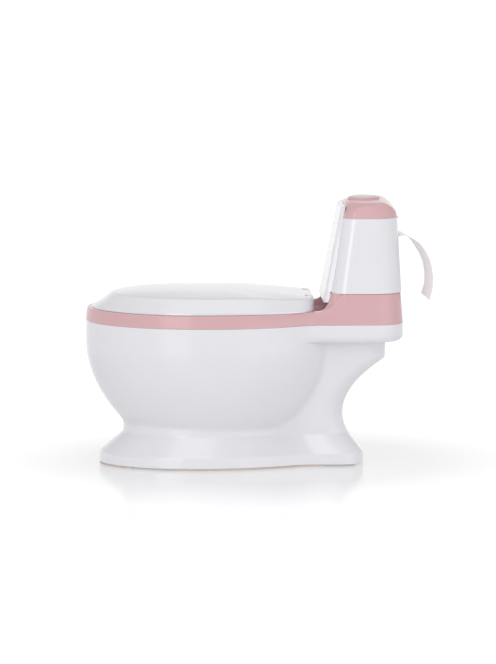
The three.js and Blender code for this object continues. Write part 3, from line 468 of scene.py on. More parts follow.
def seat_deck():
    opening = egg(**OPENING)
    outline = deck_field()
    lean = 1.4  # the band leans in by this much, more and more towards its top
    draft = 1.4  # and its raised part by this much again
    edge = 1.8
    lower_edge = 0.2
    low = BASE_TOP + SEAM

    def side_ring(inset, drop, share=1.0):
        """The band's outside, a share of the way from the seam to `drop` below the top face."""
        points = ring(outline, 0)
        height = deck_top(points[:, 0], points[:, 1])
        raised = (height - RING_TOP) / (PLATFORM_TOP - RING_TOP)
        moved = ring(outline, 0, inset)
        length = np.hypot(moved[:, 0], moved[:, 1])
        moved *= (1 - draft * raised * share / length)[:, None]
        moved[:, 2] = low + (height - drop - low) * share
        return moved

    def top_ring(step, drop, outer_inset):
        start = ring(opening, 0, -1.5 - drop)
        end = side_ring(outer_inset, 0)
        share = fillet_share(start, end, step)
        point = start + (end - start) * share[:, None]
        point[:, 2] = deck_top(point[:, 0], point[:, 1]) - drop
        return point

    rings = [ring(outline, low + lower_edge - up, lower_edge - across)
             for across, up in arc(lower_edge, 90, 0, 2)]
    rings += [side_ring(lean * (0.6 * share + 0.4 * share ** 2), edge, share)
              for share in np.linspace(0, 1, 9)[1:]]
    rings += [side_ring(lean + inset, edge - rise) for inset, rise in edge_round(edge, 6)[1:]]
    steps = 1 - np.linspace(0, 1, 17) ** 0.6
    rings += [top_ring(step, 0, lean + edge) for step in steps[::-1]]
    lip = 1.5
    rings += [ring(opening, RING_TOP - lip + up, across - lip) for across, up in arc(lip, 90, 0, 4)]
    rings.append(ring(opening, low))
    hollow = [ring(opening, BASE_TOP - 1, -THIN), ring(opening, RING_TOP - WALL, -THIN)]
    hollow += [top_ring(step, WALL, WALL + 0.5) for step in (1, 0.6, 0.3, 0.1, 0)]
    hollow += [side_ring(WALL, WALL), ring(outline, BASE_TOP - 1, WALL)]
    deck = skin("seat_deck_fine", rings, looped=True)
    underside = skin("underside", hollow, looped=True)
    combine(underside, [hinge_well(WALL, PLATFORM_TOP)], "DIFFERENCE")
    combine(deck, [underside, hinge_well(0, PLATFORM_TOP + 5)], "DIFFERENCE")
    combine(deck, [hinge_lug(side * HINGE_X) for side in (-1, 1)], "UNION")
    tidy_mesh(deck)
    return deck


def hinge_well(outset, top):
    """The room of the sunken tray between the lid and the tank, with a rounded floor."""
    fillet = 2.5
    rings = [block_ring(WELL, WELL_FLOOR_Z - outset + fillet + up, fillet - across - outset)
             for across, up in arc(fillet, -90, 0, 5)]
    rings.append(block_ring(WELL, top, -outset))
    return skin("well", rings)


def hinge_lug(x):
    """An upright lug with a round head that holds the lid's pin, standing in the hinge well."""
    head = arc(LUG_RADIUS, 180, 0, 18)
    foot = WELL_FLOOR_Z - 1.5 - HINGE_Z
    outline = head + [(LUG_RADIUS, foot), (-LUG_RADIUS, foot)]
    edge = 0.6
    rings = []
    for inset, side in ((edge, -1), (0, -1), (0, 1), (edge, 1)):
        scale = 1 - inset / LUG_RADIUS
        place = x + side * (LUG_WIDTH / 2 - (0 if inset else edge))
        rings.append(np.array([(place, HINGE_Y + y * scale, HINGE_Z + z * scale) for y, z in outline]))
    return skin("lug", rings)


# ------------------------------------------------------------------ pot

def inner_pot():
    plan = shrunk(OPENING, 1.5)
    floor_z = POT_LOW.z
    rim_top = POT_HIGH.z
    depth_profile = rounded_path([(0, RING_TOP + GAP), (5, 158), (16, 122), (32, floor_z), (64, floor_z)],
                                 [8, 30, 14], 10)
    outer = [ring(egg(**shrunk(plan, inset)), z, count=200) for inset, z in depth_profile]
    inner = [ring(egg(**shrunk(plan, inset + THIN)), z + THIN * min((RING_TOP - z) / 60, 1), count=200)
             for inset, z in depth_profile[1:]]
    rim_plan = shrunk(OPENING, -7)  # the rim rests on the deck around the opening
    rim_edge = (rim_top - RING_TOP - GAP) / 2
    rim = [ring(egg(**rim_plan), RING_TOP + GAP + rim_edge + up, rim_edge - across, count=200)
           for across, up in arc(rim_edge, -90, 90, 8)]
    lip = [ring(egg(**plan), rim_top - 1.5 + up, 4 - across, count=200) for across, up in arc(1.5, 90, 0, 4)]
    return skin("inner_pot_fine", outer[::-1] + rim + lip + inner)


# ------------------------------------------------------------------ lid

LID = dict(mid=SEAT_MID_Y, front=LID_LOW.y, rear=LID_HIGH.y, half=LID_HIGH.x)
LID_OVERRUN = 42.0  # the lid's egg would run on this far past its squared-off rear


def lid_field(front_inset, side_inset, rear_inset):
    """The lid's outline: an egg whose rear end is squared off in front of the tank."""
    long_egg = egg(LID["mid"], LID["front"] + front_inset, LID["rear"] + LID_OVERRUN,
                   LID["half"] - side_inset)
    rear_edge = LID["rear"] - rear_inset
    return lambda x, y: -soft_min(-long_egg(x, y), rear_edge - y, 26)


def lid_shell():
    """A small upright lip, sloping sides and a shallow crown that drops to the rear."""
    lip = 0.35

    def lid_ring(z, front, side, rear, inset=0.0):
        points = ring(lid_field(front, side, rear), z, inset, LID_MIDDLE_Y)
        height_share = max(z - LID_BOTTOM, 0) / (LID_SHOULDER - LID_BOTTOM)
        points[:, 2] -= LID_REAR_DROP * smooth_step(points[:, 1], -20, 50) * height_share
        return points

    def crown(shoulder, thickness):
        """Shrinking copies of the shoulder that rise to the lid's top, quicker at the front."""
        forward = np.clip((LID_MIDDLE_Y - shoulder[:, 1]) / (LID_MIDDLE_Y - shoulder[:, 1].min()), 0, 1)
        rings = []
        for share in np.linspace(0, 1, 20)[1:-1] ** 1.3:
            points = shoulder.copy()
            points[:, :2] = (0, LID_MIDDLE_Y) + (points[:, :2] - (0, LID_MIDDLE_Y)) * (1 - share)
            rise = 1 - (1 - share) ** (2 + 2.5 * forward ** 2)
            points[:, 2] += (LID_TOP - thickness - points[:, 2]) * rise
            rings.append(points)
        return rings

    # How far the outline has moved in at the front, sides and rear, at three heights
    slope_z, turn_z = 192.0, 199.8
    slope, turn, shoulder = (12.8, 7.6, 0.4), (22.5, 16.6, 1.4), (26.5, 20.6, 3)
    levels = [(LID_BOTTOM + lip, 0, 0, 0), (185.4, 2, 0.2, 0), (slope_z, *slope), (turn_z, *turn),
              (LID_SHOULDER, *shoulder)]
    outer = [lid_ring(LID_BOTTOM + lip - up, 0, 0, 0, lip - across) for across, up in arc(lip, 90, 0, 4)]
    outer += [lid_ring(*level) for level in rounded_path(levels, [1.5, 60, 7], 8)[1:]]
    inner_levels = [(LID_BOTTOM, 0, 0, 0), (slope_z - THIN * 0.6, *slope), (turn_z - THIN, *turn),
                    (LID_SHOULDER - THIN, *shoulder)]
    inner = [lid_ring(*level, THIN) for level in rounded_path(inner_levels, [30, 7], 4)]
    lid = skin("lid_fine", crown(inner[-1], THIN)[::-1] + inner[::-1] + outer + crown(outer[-1], 0))
    room = 0.6  # beside each lug
    notches = [box("notch", (x - LUG_WIDTH / 2 - room, HINGE_Y - LUG_RADIUS - 1.2, LID_BOTTOM - 3),
                   (x + LUG_WIDTH / 2 + room, HINGE_Y + 20, LID_TOP + 3)) for x in (-HINGE_X, HINGE_X)]
    knuckles = []
    for x in (-HINGE_X, HINGE_X):
        for end in (-1, 1):
            near = x + end * (LUG_WIDTH / 2 + room)
            start, stop = sorted((near, near + end * 7))
            knuckles.append(bar_x("knuckle", LUG_RADIUS, start, stop, (HINGE_Y, HINGE_Z)))
    stub, edge, stub_low, stub_high = 4.0, 0.4, 188.0, 196.2
    stub_profile = [(stub - edge, stub_low), (stub, stub_low + edge), (stub, stub_high)]
    stubs = [turned("stub", stub_profile, 40, place) for place in BUMPERS]
    combine(lid, notches, "DIFFERENCE")
    combine(lid, knuckles + stubs, "UNION")
    tidy_mesh(lid)
    return lid


# ------------------------------------------------------------------ tank

def tank_plan(z):
    return mixed(TANK_BOTTOM_PLAN, TANK_TOP_PLAN, (z - PLATFORM_TOP) / (TANK_TOP - PLATFORM_TOP))


def tank_ring(z, inset=0.0):
    return block_ring(tank_plan(z), z, inset)


def tank_shell():
    bottom = PLATFORM_TOP + SEAM
    bottom_edge = 0.2
    top_edge = 0.7
    rings = [tank_ring(bottom + bottom_edge - up, bottom_edge - across)
             for across, up in arc(bottom_edge, 90, 0, 2)]
    rings += [tank_ring(z) for z in np.linspace(bottom + 3, TANK_TOP - 3, 12)]
    rings += [tank_ring(TANK_TOP - top_edge + rise, inset) for inset, rise in edge_round(top_edge)]
    rings += [tank_ring(z, THIN) for z in (TANK_TOP, 262, 232, bottom + WALL)]
    tank = skin("tank_shell_fine", rings)
    rear_wall = tank_plan(SLOT_Z)["rear"]
    slot_half = PAPER_WIDTH / 2 + 3
    slot = slot_cutter(slot_half, 4.5, rear_wall)
    room = 3.2  # around the pin, for the cap's knuckles to turn in
    recesses = [side_box("recess", side, 10, 30.5, (CAP_HINGE_Y - room, CAP_HINGE_Z - room),
                         (CAP_HINGE_Y + 6, TANK_TOP + 2)) for side in (-1, 1)]
    combine(tank, [slot, *recesses], "DIFFERENCE")
    knuckle = bar_x("knuckle", CAP_KNUCKLE_RADIUS, -TANK_KNUCKLE_HALF, TANK_KNUCKLE_HALF,
                    (CAP_HINGE_Y, CAP_HINGE_Z))
    brackets = [roll_bracket(side) for side in (-1, 1)]
    boss_height = 13
    bosses = [upright_boss(SCREW_BOSS_RADIUS, bottom + 1, bottom + 1 + boss_height, place)
              for place in TANK_SCREWS]
    combine(tank, [knuckle, *brackets, *bosses], "UNION")
    tidy_mesh(tank)
    return tank


def upright_boss(radius, low, high, place):
    edge = 0.4
    return turned("boss", [(radius, low), (radius, high - edge), (radius - edge, high)], 40, place)


def slot_cutter(half_width, half_height, wall_y):
    """A long rounded slot through the rear wall."""
    ends = [(half_width - half_height + across, up) for across, up in arc(half_height, -90, 90, 12)]
    outline = ends + [(-x, z) for x, z in ends[::-1]]
    rings = [np.array([(x, y, SLOT_Z + z) for x, z in outline]) for y in (wall_y - 12, wall_y + 6)]
    return skin("slot", rings)


def roll_bracket(side):
    """A post from the tank's floor with an open fork for the roll's axle."""
    thickness = 4
    place = 48 if side > 0 else -48 - thickness
    half_width = 9
    fork = 4.3
    bottom = PLATFORM_TOP + 2 - ROLL_Z
    top = 10
    outline = [(-half_width, bottom), (-half_width, top), (-fork, top), *arc(fork, 180, 360, 12),
               (fork, top), (half_width, top), (half_width, bottom)]
    rings = [np.array([(x, ROLL_Y + y, ROLL_Z + z) for y, z in outline]) for x in (place, place + thickness)]
    return skin("bracket", rings, flat_ends=True)


def front_panel():
    """The leaning plate on the tank's front: its foot stands in the well, its top edge is rolled back."""
    roll = 4.0
    bottom = PANEL_LOW.z
    top = PANEL_HIGH.z
    lean_top = TANK_TOP + 12  # the front leans back up to here

    def plate(z, front_inset=0.0, side_inset=0.0, limit=TANK_TOP_PLAN["front"]):
        lean = tank_plan(min(z, lean_top))["front"]
        rear = min(lean, limit) + SEAM + CAP_DRAFT * max(z - TANK_TOP, 0)
        share = (z - PLATFORM_TOP) / (TANK_TOP - PLATFORM_TOP)
        depth = PANEL_DEPTH[0] + (PANEL_DEPTH[1] - PANEL_DEPTH[0]) * share
        half = PANEL_HALF[0] + (PANEL_HALF[1] - PANEL_HALF[0]) * share
        plan = dict(front=lean - depth + front_inset, rear=rear, half=half - side_inset,
                    front_corner=2.8, rear_corner=0.1)
        points = block_ring(plan, z, corner_steps=8)
        points[:, 0] *= 1 - SIDE_DRAFT / half * (rear - points[:, 1]) / depth
        return points

    edge = 1.2
    platform = PLATFORM_TOP + 2 * GAP
    well_rear = WELL["rear"] - GAP
    rings = [plate(bottom + edge - up, edge - across, edge - across, well_rear)
             for across, up in arc(edge, 90, 0, 4)]
    rings += [plate(z, limit=PLATFORM["front"] - GAP) for z in (bottom + 7, platform)]
    rings += [plate(z) for z in np.linspace(platform, TANK_TOP, 8)]
    for across, up in arc(roll, 0, 85, 10):
        rings.append(plate(top - roll + up, roll - across, 0.6 * (roll - across)))
    return skin("tank_front_panel_fine", rings)


# ------------------------------------------------------------------ cap and button

def cap_top(x, y):
    """Height of the cap's top face: a dome that falls off towards the front corners and the rear."""
    across = np.abs(x) / TANK_TOP_PLAN["half"]
    forward = np.maximum(CAP_MIDDLE_Y - y, 0) / (CAP_MIDDLE_Y - TANK_TOP_PLAN["front"])
    behind = np.maximum(y - CAP_REAR_FALL_Y, 0)
    fall = CAP_CORNER_FALL * np.hypot(across, forward) ** CAP_CORNER_POWER
    return CAP_TOP - 0.4 - fall - CAP_REAR_FALL * behind ** 2


def tank_cap():
    bottom = TANK_TOP + SEAM
    middle = np.array([0, CAP_MIDDLE_Y])

    def side(share, thickness, inset=0.3):
        """The upright side, a share of the way from the seam to the top face."""
        low = ring(block(**TANK_TOP_PLAN), 0, inset + thickness, CAP_MIDDLE_Y, 384)
        rise = (cap_top(low[:, 0], low[:, 1]) - bottom) * share
        out = low[:, :2] - middle
        points = low.copy()
        points[:, :2] = middle + out * (1 - CAP_DRAFT * rise / np.hypot(out[:, 0], out[:, 1]))[:, None]
        points[:, 2] = bottom + rise
        return points

    def inwards(edge, share):
        """The edge drawn in towards the middle, on the top face."""
        points = edge.copy()
        points[:, :2] = middle + (edge[:, :2] - middle) * (1 - share)
        points[:, 2] = cap_top(points[:, 0], points[:, 1])
        return points

    def shell(thickness):
        """Rings from the seam up the side, over a rounded crease and inwards over the top."""
        side_share, top_share = 0.87, 0.05  # where the crease starts and ends
        corner = side(1.0, thickness)
        before = side(side_share, thickness)
        after = inwards(corner, top_share)
        crease = [before * (1 - t) ** 2 + corner * 2 * t * (1 - t) + after * t ** 2
                  for t in np.linspace(0, 1, 8)]
        rings = [side(share, thickness) for share in (0.3, 0.6)] + crease
        rings += [inwards(corner, share) for share in np.linspace(top_share, 0.96, 14)[1:]]
        for points in rings:
            points[:, 2] = np.maximum(points[:, 2] - thickness, bottom + 0.05)
        return [side(0, thickness), *rings]

    cap = skin("tank_cap_fine", shell(THIN)[::-1] + shell(0))
    hinge = (CAP_HINGE_Y, CAP_HINGE_Z)
    knuckles, webs = [], []
    for way in (-1, 1):
        span = sorted(way * distance for distance in CAP_KNUCKLE_SPAN)
        knuckles.append(bar_x("knuckle", CAP_KNUCKLE_RADIUS, *span, hinge))
        webs.append(side_box("web", way, *CAP_KNUCKLE_SPAN, (CAP_HINGE_Y - CAP_KNUCKLE_RADIUS, CAP_HINGE_Z),
                             (CAP_HINGE_Y + 0.5, bottom + 3)))
    boss_profile = [(MODULE_BOSS_RADIUS, MODULE_TOP + GAP), (MODULE_BOSS_RADIUS, CAP_TOP - THIN - 0.5)]
    bosses = [turned("boss", boss_profile, 40, (x, BUTTON_Y)) for x in MODULE_SCREWS]
    collar, well, stem_hole = button_seat()
    combine(cap, [collar, *knuckles, *webs, *bosses], "UNION")
    half = CAP_KNUCKLE_SPAN[0]
    around_pin = 3.1
    room = box("room", (-half, CAP_HINGE_Y - around_pin, bottom - 1),
               (half, CAP_HINGE_Y + 5, CAP_HINGE_Z + around_pin))
    combine(cap, [well, stem_hole, room], "DIFFERENCE")
    tidy_mesh(cap)
    return cap


def button_seat():
    """The collar around the button, and the two shapes that the well and the stem's hole are cut with."""
    centre = (0, BUTTON_Y)
    wall = BUTTON_WELL_RADIUS + THIN
    floor = BUTTON_FLOOR - 2
    rim = CAP_TOP + 1.6
    profile = rounded_path([(0.5, floor), (wall, floor), (wall, CAP_TOP - 1.2), (wall + 0.8, CAP_TOP - 0.9),
                            (wall - 0.4, rim), (0.5, rim)], [0.2, 0.3, 0.3, 0.7], 4)
    flare = BUTTON_WELL_RADIUS + 0.6
    well_profile = [(BUTTON_WELL_RADIUS, BUTTON_FLOOR), (BUTTON_WELL_RADIUS, CAP_TOP + 1.0),
                    (flare, CAP_TOP + 1.7), (flare, CAP_TOP + 8)]
    collar = turned("collar", profile, 128, centre)
    well = turned("well", well_profile, 128, centre)
    stem_hole = turned("stem_hole", [(3.4, BUTTON_FLOOR - 6), (3.4, CAP_TOP)], 48, centre)
    return collar, well, stem_hole


def flush_button():
    skirt = 306.0
    wall = 1.8
    stem = 3.0
    plate_low = 308.6
    stem_bottom = BUTTON_LOW.z
    profile = rounded_path([
        (0.3, stem_bottom), (stem, stem_bottom), (stem, plate_low), (BUTTON_RADIUS - wall, plate_low),
        (BUTTON_RADIUS - wall, skirt), (BUTTON_RADIUS, skirt), (BUTTON_RADIUS, BUTTON_TOP - 1.3),
        (BUTTON_RADIUS - 2.2, BUTTON_TOP - 0.25), (0.3, BUTTON_TOP)],
        [0.5, 0.5, 0.5, 0.3, 0.3, 1.0, 1.6], 6)
    return turned("flush_button_fine", profile, 128, (0, BUTTON_Y))


# ------------------------------------------------------------------ paper

def paper_strip():
    """The loose end: out through the slot, over, and down with a slight twist and soft waves."""
    # (y, z) of the strip's middle line, from inside the slot to the loose end
    knots = [(151, 265.5), (159.3, 266.8), (166, 266.9), (172, 264.8), (180.7, 258.3), (187.3, 250),
             (192.5, 240.5), (195.9, 231), (197.8, 217.6), (197, 204), (193.5, 193)]
    along = smooth_curve(knots, 90)
    tangent = np.gradient(along, axis=0)
    tangent /= np.linalg.norm(tangent, axis=1)[:, None]
    normal = np.stack([-tangent[:, 1], tangent[:, 0]], axis=1)
    share = np.linspace(0, 1, len(along))
    lift = 3.4 * smooth_step(share, 0.1, 0.5)  # how far the twist lifts each edge
    thickness = 0.4
    across = np.linspace(-1, 1, 33)
    rows = []
    for index, (middle, direction) in enumerate(zip(along, normal)):
        wave = 0.5 * np.sin(across * 5 + share[index] * 7) * smooth_step(share[index], 0.2, 0.6)
        offset = across * lift[index] + wave
        front = middle + direction * (offset + thickness / 2)[:, None]
        back = middle + direction * (offset - thickness / 2)[:, None]
        x = across * PAPER_WIDTH / 2
        loop = np.vstack([np.column_stack([x, front]), np.column_stack([x, back])[::-1]])
        rows.append(loop)
    return skin("paper_strip_fine", rows)


def smooth_curve(knots, count):
    """A Catmull-Rom curve through the knots, as evenly indexed points."""
    knots = np.array(knots, float)
    padded = np.vstack([2 * knots[0] - knots[1], knots, 2 * knots[-1] - knots[-2]])
    result = []
    for place in np.linspace(0, len(knots) - 1, count):
        index = min(int(place), len(knots) - 2)
        t = place - index
        a, b, c, d = padded[index:index + 4]
        result.append(0.5 * (2 * b + (c - a) * t + (2 * a - 5 * b + 4 * c - d) * t ** 2
                             + (3 * b - a - 3 * c + d) * t ** 3))
    return np.array(result)


def smooth_step(value, low, high):
    share = np.clip((value - low) / (high - low), 0, 1)
    return share * share * (3 - 2 * share)


def paper_roll():
    low, high = cad_box("paper_roll")
    half = high.x
    radius = (high.z - low.z) / 2
    bore = 6.0
    soft = 1.0  # the paper's rims are a little crushed
    profile = [(bore, -half), (radius - soft, -half), (radius, -half + soft), (radius, half - soft),
               (radius - soft, half), (bore, half)]
    sides = 96
    angles = around(sides)
    layers = 0.15 * np.sin(angles * 9) + 0.1 * np.sin(angles * 4 + 1)  # wound a little unevenly
    rings = []
    for size, x in profile:
        reach = size + (layers if size > bore else 0)
        y = ROLL_Y + reach * np.sin(angles)
        z = ROLL_Z + reach * np.cos(angles)
        rings.append(np.stack([np.full(sides, x), y, z], axis=1))
    return skin("paper_roll_fine", rings, looped=True)


# ------------------------------------------------------------------ materials

def new_material(name, color, roughness, metallic=0.0):
    """A principled material with its nodes ready to wire: (material, nodes, links, shader)."""
    material = bpy.data.materials.new(name)
    material.use_nodes = True
    nodes, links = material.node_tree.nodes, material.node_tree.links
    shader = nodes["Principled BSDF"]
    shader.inputs["Base Color"].default_value = (*color, 1)
    shader.inputs["Roughness"].default_value = roughness
    shader.inputs["Metallic"].default_value = metallic
    return material, nodes, links, shader


def noise(nodes, links, scale, detail=3.0, stretch=(1, 1, 1)):
    """Noise over the object's own coordinates, in metres. Returns its Fac output."""
    place = nodes.new("ShaderNodeTexCoord")
    mapping = nodes.new("ShaderNodeMapping")
    mapping.inputs["Scale"].default_value = stretch
    texture = nodes.new("ShaderNodeTexNoise")
    texture.inputs["Scale"].default_value = scale
    texture.inputs["Detail"].default_value = detail
    links.new(place.outputs["Object"], mapping.inputs["Vector"])
    links.new(mapping.outputs["Vector"], texture.inputs["Vector"])
    return texture.outputs["Fac"]


def mapped(nodes, links, source, start, end, low, high):
    """An output that goes from low to high while the source goes from start to end."""
    spread = nodes.new("ShaderNodeMapRange")
    for name, value in (("From Min", start), ("From Max", end), ("To Min", low), ("To Max", high)):
        spread.inputs[name].default_value = value
    links.new(source, spread.inputs["Value"])
    return spread.outputs["Result"]


def vary(nodes, links, source, target, low, high):
    """Feeds a noise into a value input, stretched to low..high."""
    links.new(mapped(nodes, links, source, 0.3, 0.7, low, high), target)


def tint(nodes, links, source, target, first, second):
    """Feeds a mix of two colours, driven by a 0..1 source, into a colour input."""
    ramp = nodes.new("ShaderNodeValToRGB")
    ramp.color_ramp.elements[0].position = 0.35
    ramp.color_ramp.elements[0].color = (*first, 1)
    ramp.color_ramp.elements[1].position = 0.65
    ramp.color_ramp.elements[1].color = (*second, 1)
    links.new(source, ramp.inputs["Fac"])
    links.new(ramp.outputs["Color"], target)


def bump(nodes, links, source, shader, distance, strength=1.0):
    node = nodes.new("ShaderNodeBump")
    node.inputs["Distance"].default_value = distance
    node.inputs["Strength"].default_value = strength
    links.new(source, node.inputs["Height"])
    links.new(node.outputs["Normal"], shader.inputs["Normal"])


def gloss_plastic(name, color, deeper, roughness, glow=0.0, shine=0.5):
    """Glossy moulded polypropylene: faint flow marks, fine surface ripple, uneven gloss.

    glow is how much light goes through the surface, and shine how strongly it mirrors."""
    material, nodes, links, shader = new_material(name, color, roughness)
    shader.inputs["IOR"].default_value = 1.49
    shader.inputs["Subsurface Weight"].default_value = glow
    shader.inputs["Subsurface Radius"].default_value = (0.004, 0.0035, 0.003)
    shader.inputs["Specular IOR Level"].default_value = shine
    shader.inputs["Coat Weight"].default_value = 0.3 * shine
    shader.inputs["Coat Roughness"].default_value = 0.08
    tint(nodes, links, noise(nodes, links, 9, 2), shader.inputs["Base Color"], deeper, color)
    vary(nodes, links, noise(nodes, links, 60, 4), shader.inputs["Roughness"],
         roughness * 0.85, roughness * 1.2)
    bump(nodes, links, noise(nodes, links, 140, 2), shader, 0.00002)
    return material


def matt_plastic(name, color, roughness=0.5):
    """Spark-eroded plastic, as on inner parts."""
    material, nodes, links, shader = new_material(name, color, roughness)
    darker = tuple(value * 0.93 for value in color)
    tint(nodes, links, noise(nodes, links, 40, 3), shader.inputs["Base Color"], darker, color)
    bump(nodes, links, noise(nodes, links, 1800, 2), shader, 0.00005)
    return material


def rubber(name, color):
    """Soft non-slip rubber with a fine grain and dusty patches."""
    material, nodes, links, shader = new_material(name, color, 0.8)
    lighter = tuple(min(value * 1.15, 1) for value in color)
    tint(nodes, links, noise(nodes, links, 70, 5), shader.inputs["Base Color"], color, lighter)
    bump(nodes, links, noise(nodes, links, 900, 3), shader, 0.0001)
    return material


def steel(name):
    """Zinc-plated steel with drawn streaks."""
    material, nodes, links, shader = new_material(name, (0.6, 0.61, 0.62), 0.32, 1.0)
    vary(nodes, links, noise(nodes, links, 400, 4, (1, 1, 8)), shader.inputs["Roughness"], 0.22, 0.42)
    bump(nodes, links, noise(nodes, links, 900, 3, (1, 1, 6)), shader, 0.00002)
    return material


def paper(name):
    """Soft tissue: warm, slightly mottled, with an embossed dot pattern and loose fibres, and a faint painted glow
    that lightens its shaded side.
    """
    material, nodes, links, shader = new_material(name, (0.91, 0.89, 0.87), 0.95)
    shader.inputs["Sheen Weight"].default_value = 0.25
    shader.inputs["Subsurface Weight"].default_value = 0.6
    shader.inputs["Subsurface Radius"].default_value = (0.002, 0.002, 0.002)
    shader.inputs["Emission Color"].default_value = (1, 0.99, 0.98, 1)
    shader.inputs["Emission Strength"].default_value = 0.15  # painted light: a faint glow that brightens the sheet's shaded side, standing in for light that comes through the thin sheet
    tint(nodes, links, noise(nodes, links, 220, 5), shader.inputs["Base Color"],
         (0.87, 0.85, 0.83), (0.93, 0.91, 0.89))
    place = nodes.new("ShaderNodeTexCoord")
    dots = nodes.new("ShaderNodeTexVoronoi")
    dots.inputs["Scale"].default_value = 420
    dots.inputs["Randomness"].default_value = 0.15
    links.new(place.outputs["Object"], dots.inputs["Vector"])
    fibres = noise(nodes, links, 1500, 4, (1, 1, 0.4))
    total = nodes.new("ShaderNodeMath")
    total.operation = "ADD"
    links.new(dots.outputs["Distance"], total.inputs[0])
    links.new(fibres, total.inputs[1])
    bump(nodes, links, total.outputs["Value"], shader, 0.00012)
    return material


def circuit_board(name):
    """Green solder mask with faint copper tracks under it."""
    material, nodes, links, shader = new_material(name, (0.02, 0.12, 0.05), 0.35)
    place = nodes.new("ShaderNodeTexCoord")
    tracks = nodes.new("ShaderNodeTexBrick")
    tracks.inputs["Scale"].default_value = 180
    tracks.inputs["Color1"].default_value = (0.02, 0.12, 0.05, 1)
    tracks.inputs["Color2"].default_value = (0.03, 0.15, 0.06, 1)
    tracks.inputs["Mortar"].default_value = (0.10, 0.26, 0.10, 1)
    links.new(place.outputs["Object"], tracks.inputs["Vector"])
    links.new(tracks.outputs["Color"], shader.inputs["Base Color"])
    bump(nodes, links, tracks.outputs["Fac"], shader, 0.00003)
    return material


def battery_jacket(name):
    """A plain shrink sleeve: dark body with a bronze band at one end, no lettering."""
    dark, bronze = (0.04, 0.045, 0.06), (0.45, 0.24, 0.08)
    material, nodes, links, shader = new_material(name, dark, 0.3, 0.3)
    place = nodes.new("ShaderNodeTexCoord")
    split = nodes.new("ShaderNodeSeparateXYZ")
    links.new(place.outputs["Object"], split.inputs["Vector"])
    edge = nodes.new("ShaderNodeMath")
    edge.operation = "GREATER_THAN"
    edge.inputs[1].default_value = -4 * MM
    links.new(split.outputs["X"], edge.inputs[0])
    tint(nodes, links, edge.outputs["Value"], shader.inputs["Base Color"], dark, bronze)
    bump(nodes, links, noise(nodes, links, 500, 2), shader, 0.00003)
    return material


WHITE = gloss_plastic("white_plastic", (0.80, 0.80, 0.84), (0.785, 0.785, 0.825), 0.14, 0.08)
PINK = gloss_plastic("pink_plastic", (0.70, 0.44, 0.46), (0.68, 0.425, 0.445), 0.16, 0.05, 0.2)
BUTTON_GREY = gloss_plastic("button_plastic", (0.70, 0.68, 0.66), (0.67, 0.65, 0.63), 0.32)
FOOT_RUBBER = rubber("foot_rubber", (0.56, 0.48, 0.42))
STEEL = steel("steel")
INNER = matt_plastic("inner_plastic", (0.62, 0.64, 0.66))
DARK = matt_plastic("dark_plastic", (0.03, 0.03, 0.032), 0.6)
BOARD = circuit_board("circuit_board")
JACKET = battery_jacket("battery_jacket")
PAPER = paper("paper")


MATERIAL_SLOTS = {row["node"]: row["material_slot"] for row in frame["record"]["subparts"]}


def dress(piece, material):
    piece.data.materials.clear()
    piece.data.materials.append(material)


def stand_for(piece, node, body, material):
    """The fine piece takes the CAD node's place, on its body, in its finish."""
    dress(piece, material)
    even_shading(piece)
    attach(piece, body)
    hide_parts(node)


stand_for(base_shell(), "base_shell", "root", WHITE)
STRIP_ANGLES = {"front": (-0.44, 0.44), "left": (-0.79, -2.66), "right": (0.79, 2.66)}
for place, angles in STRIP_ANGLES.items():
    stand_for(foot_strip(f"foot_strip_{place}_fine", *angles), f"foot_strip_{place}", "root", FOOT_RUBBER)
stand_for(seat_deck(), "seat_deck", "root", PINK)
stand_for(inner_pot(), "inner_pot", "pot", WHITE)
stand_for(lid_shell(), "lid", "lid", WHITE)
stand_for(tank_shell(), "tank_shell", "root", WHITE)
stand_for(front_panel(), "tank_front_panel", "root", WHITE)
stand_for(tank_cap(), "tank_cap", "cap", PINK)
stand_for(flush_button(), "flush_button", "button", BUTTON_GREY)
stand_for(paper_strip(), "paper_strip", "root", PAPER)
stand_for(paper_roll(), "paper_roll", "roll", PAPER)

SLOT_MATERIALS = {"steel": STEEL, "inner_plastic": INNER, "dark_plastic": DARK, "circuit_board": BOARD,
                  "battery_jacket": JACKET, "foot_rubber": FOOT_RUBBER}
for node, slot in MATERIAL_SLOTS.items():
    if slot in SLOT_MATERIALS:
        dress(frame["nodes"][node], SLOT_MATERIALS[slot])


# ------------------------------------------------------------------ floor, light and camera

def camera_only(nodes, links, target, seen, lit):
    """Feeds `seen` into an input for camera rays and `lit` for all others: each a number or an output."""
    path = nodes.new("ShaderNodeLightPath")
    choice = nodes.new("ShaderNodeMix")
    for source, socket in ((lit, choice.inputs["A"]), (seen, choice.inputs["B"])):
        if isinstance(source, float):
            socket.default_value = source
        else:
            links.new(source, socket)
    links.new(path.outputs["Is Camera Ray"], choice.inputs["Factor"])
    links.new(choice.outputs["Result"], target)


def studio_floor():
    """A large pale floor with a faint reflection. For the camera it glows less near the chair, a painted shade
    around its foot on top of the rendered shadow, and up to white farther away; to all other rays it glows evenly
    and lights the chair from below.
    """
    size = 30000.0
    corners = [(-size, -size, 0), (size, -size, 0), (size, size, 0), (-size, size, 0)]
    floor = make_object("floor", corners, [(0, 1, 2, 3)])
    material, nodes, links, shader = new_material("floor", (0.5, 0.5, 0.5), 0.16)
    shader.inputs["Specular IOR Level"].default_value = 0.5
    shader.inputs["Emission Color"].default_value = (1, 1, 1, 1)
    place = nodes.new("ShaderNodeTexCoord")
    reach = nodes.new("ShaderNodeVectorMath")
    reach.operation = "LENGTH"
    links.new(place.outputs["Object"], reach.inputs[0])
    # painted shade: the camera sees the floor's glow dimmed near the chair and rising to white away from it
    glow = mapped(nodes, links, reach.outputs["Value"], 0.2, 0.42, 0.23, 0.45)
    # to all other rays the floor glows evenly, as fill light on the chair from below
    camera_only(nodes, links, shader.inputs["Emission Strength"], glow, 0.378)
    dress(floor, material)


